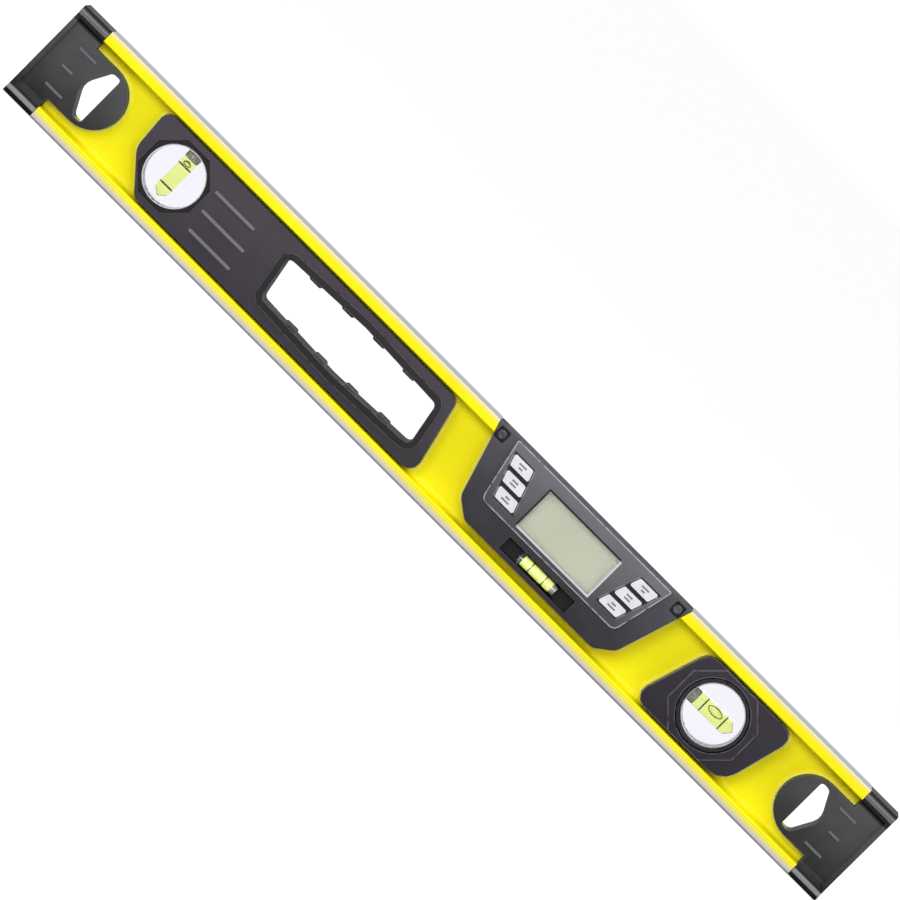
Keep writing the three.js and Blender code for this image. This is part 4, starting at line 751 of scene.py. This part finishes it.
def satin_paint():
    """The panel's paint, with painted shade behind the keys and a painted shadow and highlight round
    the display window.
    """
    made, tree, shader = new_material("satin_panel_paint")
    grain = use(tree, surface_grain, grain_scale=5200.0, patch_scale=45.0)
    rubbed_and_lit = use(tree, edge_wear_and_highlight, reach=PANEL_PALE_EDGE, amount=1.0)
    low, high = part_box("display_panel")
    # painted light: the paint is darker at the bottom of the panel and lighter at the top
    rise = use(tree, painted_light_height, bottom=low.z, top=high.z).outputs["Share"]
    uneven = varied(tree, grain.outputs["Tone"], -0.15, 0.15)
    body = blend_colours(tree, math_node(tree, "ADD", rise, uneven, clamp=True),
                         linear(66, 63, 70), linear(106, 102, 111))
    # pale edges: partly rubbed paint, partly a painted highlight on the rounded edge
    colour = blend_colours(tree, rubbed_and_lit.outputs["Mask"], body, linear(190, 188, 196))
    for column in ("left", "right"):
        top, bottom = (middle_of(f"button_{column}_{place}") for place in ("top", "bottom"))
        low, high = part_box(f"button_{column}_middle")
        slant = (top.x - bottom.x) / (top.z - bottom.z)
        half_height = (top.z - bottom.z) / 2 + (high.z - low.z) / 2 - KEY_FLANGE_HIDDEN
        half_width = (high.x - low.x) / 2 - abs(slant) * (high.z - low.z) / 2 - KEY_FLANGE_HIDDEN / 2
        behind_keys = use(tree, slanted_patch, centre_x=(top.x + bottom.x) / 2,
                          centre_z=(top.z + bottom.z) / 2, slant=slant,
                          half_width=half_width + KEY_BORDER, half_height=half_height + KEY_BORDER)
        # painted shade behind and between the keys
        colour = blend_colours(tree, behind_keys.outputs["Mask"], colour, linear(16, 15, 18))
    low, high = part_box("display_lens")
    window = (low + high) / 2
    # a painted shadow above and left of the window, and a painted highlight below and right of it
    for shift, tone in ((-BORDER_SHIFT, (20, 19, 22)), (BORDER_SHIFT, (196, 194, 200))):
        border = use(tree, slanted_patch, centre_x=window.x + shift, centre_z=window.z - shift,
                     half_width=(high.x - low.x) / 2 + BORDER_WIDTH,
                     half_height=(high.z - low.z) / 2 + BORDER_WIDTH)
        colour = blend_colours(tree, border.outputs["Mask"], colour, linear(*tone))
    tree.links.new(colour, shader.inputs["Base Color"])
    shader.inputs["Metallic"].default_value = 0.2
    shader.inputs["Specular IOR Level"].default_value = 0.35
    tree.links.new(varied(tree, grain.outputs["Tone"], 0.36, 0.48), shader.inputs["Roughness"])
    give_bump(tree, shader, grain.outputs["Height"], 0.25, 0.03 * MM)
    return made


soften(nodes["display_panel"], PANEL_EDGE, 4)
paint(nodes["display_panel"], satin_paint())

# ---------------------------------------------------------------------------------------------
# Display: a clear lens, glued into the panel's window over a liquid crystal cell that is
# switched off.


def lcd_cell():
    """The grey-green face of a display that is switched off."""
    made, tree, shader = new_material("lcd_cell")
    grain = use(tree, surface_grain, grain_scale=9000.0, patch_scale=18.0)
    colour = blend_colours(tree, varied(tree, grain.outputs["Tone"], 0.0, 1.0),
                           linear(200, 202, 176), linear(208, 210, 186))
    tree.links.new(colour, shader.inputs["Base Color"])
    tree.links.new(varied(tree, grain.outputs["Tone"], 0.25, 0.35), shader.inputs["Roughness"])
    return made


paint(nodes["display_lcd"], lcd_cell())
paint(nodes["display_lens"], clear_acrylic("lens_acrylic", (250, 250, 250), 0.02))

# ---------------------------------------------------------------------------------------------
# Keys: six white moulded caps with a printed caption, shown as two bars, that press silicone
# domes on the board behind them.

KEY_EDGE = 0.35 * MM
PRINT_THICKNESS = 0.04 * MM
KEY_BARS = {"top": (5.2, 2.6), "middle": (4.2, 4.2), "bottom": (3.0, 5.4)}  # widths in millimetres
BAR_HEIGHT = 0.95 * MM
BAR_SPREAD = 1.0 * MM

key_white = plain_plastic("key_white", (226, 226, 230), 0.42)
key_print = plain_plastic("key_print", (120, 120, 126), 0.5)
silicone = plain_plastic("silicone", (216, 216, 210), 0.6)


def flat_bar(name, low, high):
    """A thin closed block between two corners."""
    mesh = bmesh.new()
    bmesh.ops.create_cube(mesh, size=1.0)
    data = bpy.data.meshes.new(name)
    mesh.to_mesh(data)
    mesh.free()
    size, middle = high - low, (low + high) / 2
    data.transform(Matrix.Translation(middle) @ Matrix.Diagonal((*size, 1.0)))
    bar = bpy.data.objects.new(name, data)
    bpy.context.scene.collection.objects.link(bar)
    return bar


for column in ("left", "right"):
    paint(nodes[f"keypad_{column}"], silicone)
    for place, widths in KEY_BARS.items():
        key_name = f"button_{column}_{place}"
        key = nodes[key_name]
        soften(key, KEY_EDGE, 3)
        paint(key, key_white)
        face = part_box(key_name)[0].y
        middle = middle_of(key_name)
        for step, width in zip((1, -1), widths):
            z = middle.z + step * BAR_SPREAD
            half = width * MM / 2
            bar = flat_bar(f"{key_name}_print_{step + 1}",
                           Vector((middle.x - half, face - PRINT_THICKNESS, z - BAR_HEIGHT / 2)),
                           Vector((middle.x + half, face + PRINT_THICKNESS, z + BAR_HEIGHT / 2)))
            paint(bar, key_print)
            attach(bar, f"key_{column}_{place}")

# ---------------------------------------------------------------------------------------------
# Electronics and cells, seen when the battery door is open: a soldered board with a buzzer and a
# tilt sensor in a steel can, and two sleeved cells held by plated springs.

board_green = plain_plastic("board_green", (36, 96, 58), 0.4)
black_part = plain_plastic("black_part", (28, 28, 30), 0.5)
cell_sleeve = plain_plastic("cell_sleeve", (44, 76, 138), 0.3)
paint(nodes["main_board"], board_green)
paint(nodes["buzzer"], black_part)
paint(nodes["tilt_sensor"], steel)
for place in ("lower", "upper"):
    paint(nodes[f"battery_{place}"], cell_sleeve)
    paint(nodes[f"battery_spring_{place}"], steel)

# ---------------------------------------------------------------------------------------------
# Centre vial: a small clear tube in a slot below the display, filled and ringed like the others.
# Behind it is the black housing, so its spirit is shown by a painted glow more than by what
# is seen through it.

DYED_CLEAR = 0.3                 # how much of the light goes through the dyed spirit
paint(nodes["centre_vial_tube"], acrylic)
# its spirit carries a painted glow
paint(nodes["centre_vial_liquid"], tinted_spirit("bright_spirit", DYED_CLEAR))
paint(nodes["centre_vial_plug"], plug_plastic)
for place in ("left", "right"):
    paint(nodes[f"centre_vial_ring_{place}"], ring_ink)

# ---------------------------------------------------------------------------------------------
# Studio: a pale floor, an even pale world and soft lights. Floor and world look white, and
# light the level less than they look, so that faces turned down stay dark.

REACH = 12.0
FLOOR_GREY = 0.42
FLOOR_GLOW = 0.72
ROOM_LIGHT = 0.62
ROOM_SEEN = 1.05


def seen_directly(tree):
    """1 for rays that come from the eye or through clear material, and 0 for light that falls."""
    path = put(tree, "LightPath")
    return math_node(tree, "MAXIMUM", path.outputs["Is Camera Ray"],
                     path.outputs["Is Transmission Ray"])


floor_mesh = bpy.data.meshes.new("floor")
floor_mesh.from_pydata([(-REACH, -REACH, 0), (REACH, -REACH, 0), (REACH, REACH, 0),
                        (-REACH, REACH, 0)], [], [(0, 1, 2, 3)])
floor = bpy.data.objects.new("floor", floor_mesh)
bpy.context.scene.collection.objects.link(floor)
floor_white, floor_tree, floor_shader = new_material("lit_from_below")
floor_shader.inputs["Base Color"].default_value = (FLOOR_GREY, FLOOR_GREY, FLOOR_GREY, 1)
floor_shader.inputs["Roughness"].default_value = 0.9
floor_shader.inputs["Specular IOR Level"].default_value = 0.0
floor_shader.inputs["Emission Color"].default_value = (1, 1, 1, 1)
floor_tree.links.new(math_node(floor_tree, "MULTIPLY", seen_directly(floor_tree), FLOOR_GLOW),
                     floor_shader.inputs["Emission Strength"])
paint(floor, floor_white)
floor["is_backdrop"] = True

world = bpy.data.worlds.new("studio")
bpy.context.scene.world = world
world.use_nodes = True
room = world.node_tree
strength = math_node(room, "MULTIPLY_ADD", seen_directly(room), ROOM_SEEN - ROOM_LIGHT,
                     ROOM_LIGHT)
room.nodes["Background"].inputs["Color"].default_value = (1, 1, 1, 1)
room.links.new(strength, room.nodes["Background"].inputs["Strength"])


def soft_light(name, place, width, depth, power):
    """An area light aimed at the middle of the level."""
    light = bpy.data.lights.new(name, "AREA")
    light.shape = "RECTANGLE"
    light.size = width
    light.size_y = depth
    light.energy = power
    lamp = bpy.data.objects.new(name, light)
    bpy.context.scene.collection.objects.link(lamp)
    lamp.location = place
    aim = Vector((0, 0, 0.03)) - Vector(place)
    lamp.rotation_euler = aim.to_track_quat("-Z", "Y").to_euler()


soft_light("key_light", (-0.3, -1.9, 0.62), 2.2, 0.8, 25)
soft_light("strip_light", (0, -0.5, 1.8), 1.8, 0.2, 12)

# The camera looks straight at the front from a little above, turned so that the level runs from
# the upper left of the picture to its lower right.

CAMERA_RISE = math.radians(5)
CAMERA_LENS = 300                # long, so that recessed faces aren't shifted
CAMERA_DISTANCE = 3.996
CAMERA_ASIDE = -1.3 * MM
centre = (cad_low + cad_high) / 2 + Vector((CAMERA_ASIDE, 0, 0))
camera_data = bpy.data.cameras.new("camera")
camera_data.lens = CAMERA_LENS
camera_data.sensor_width = 36
camera = bpy.data.objects.new("camera", camera_data)
bpy.context.scene.collection.objects.link(camera)
ahead = Vector((0, math.cos(CAMERA_RISE), -math.sin(CAMERA_RISE)))
level_up = Vector((0, math.sin(CAMERA_RISE), math.cos(CAMERA_RISE)))
along = Vector((1, 0, 0))
picture_right = (along + level_up).normalized()
picture_up = (level_up - along).normalized()
turn = Matrix((picture_right, picture_up, -ahead)).transposed()
camera.matrix_world = Matrix.Translation(centre - ahead * CAMERA_DISTANCE) @ turn.to_4x4()
bpy.context.scene.camera = camera
bpy.context.scene.view_settings.view_transform = "Standard"
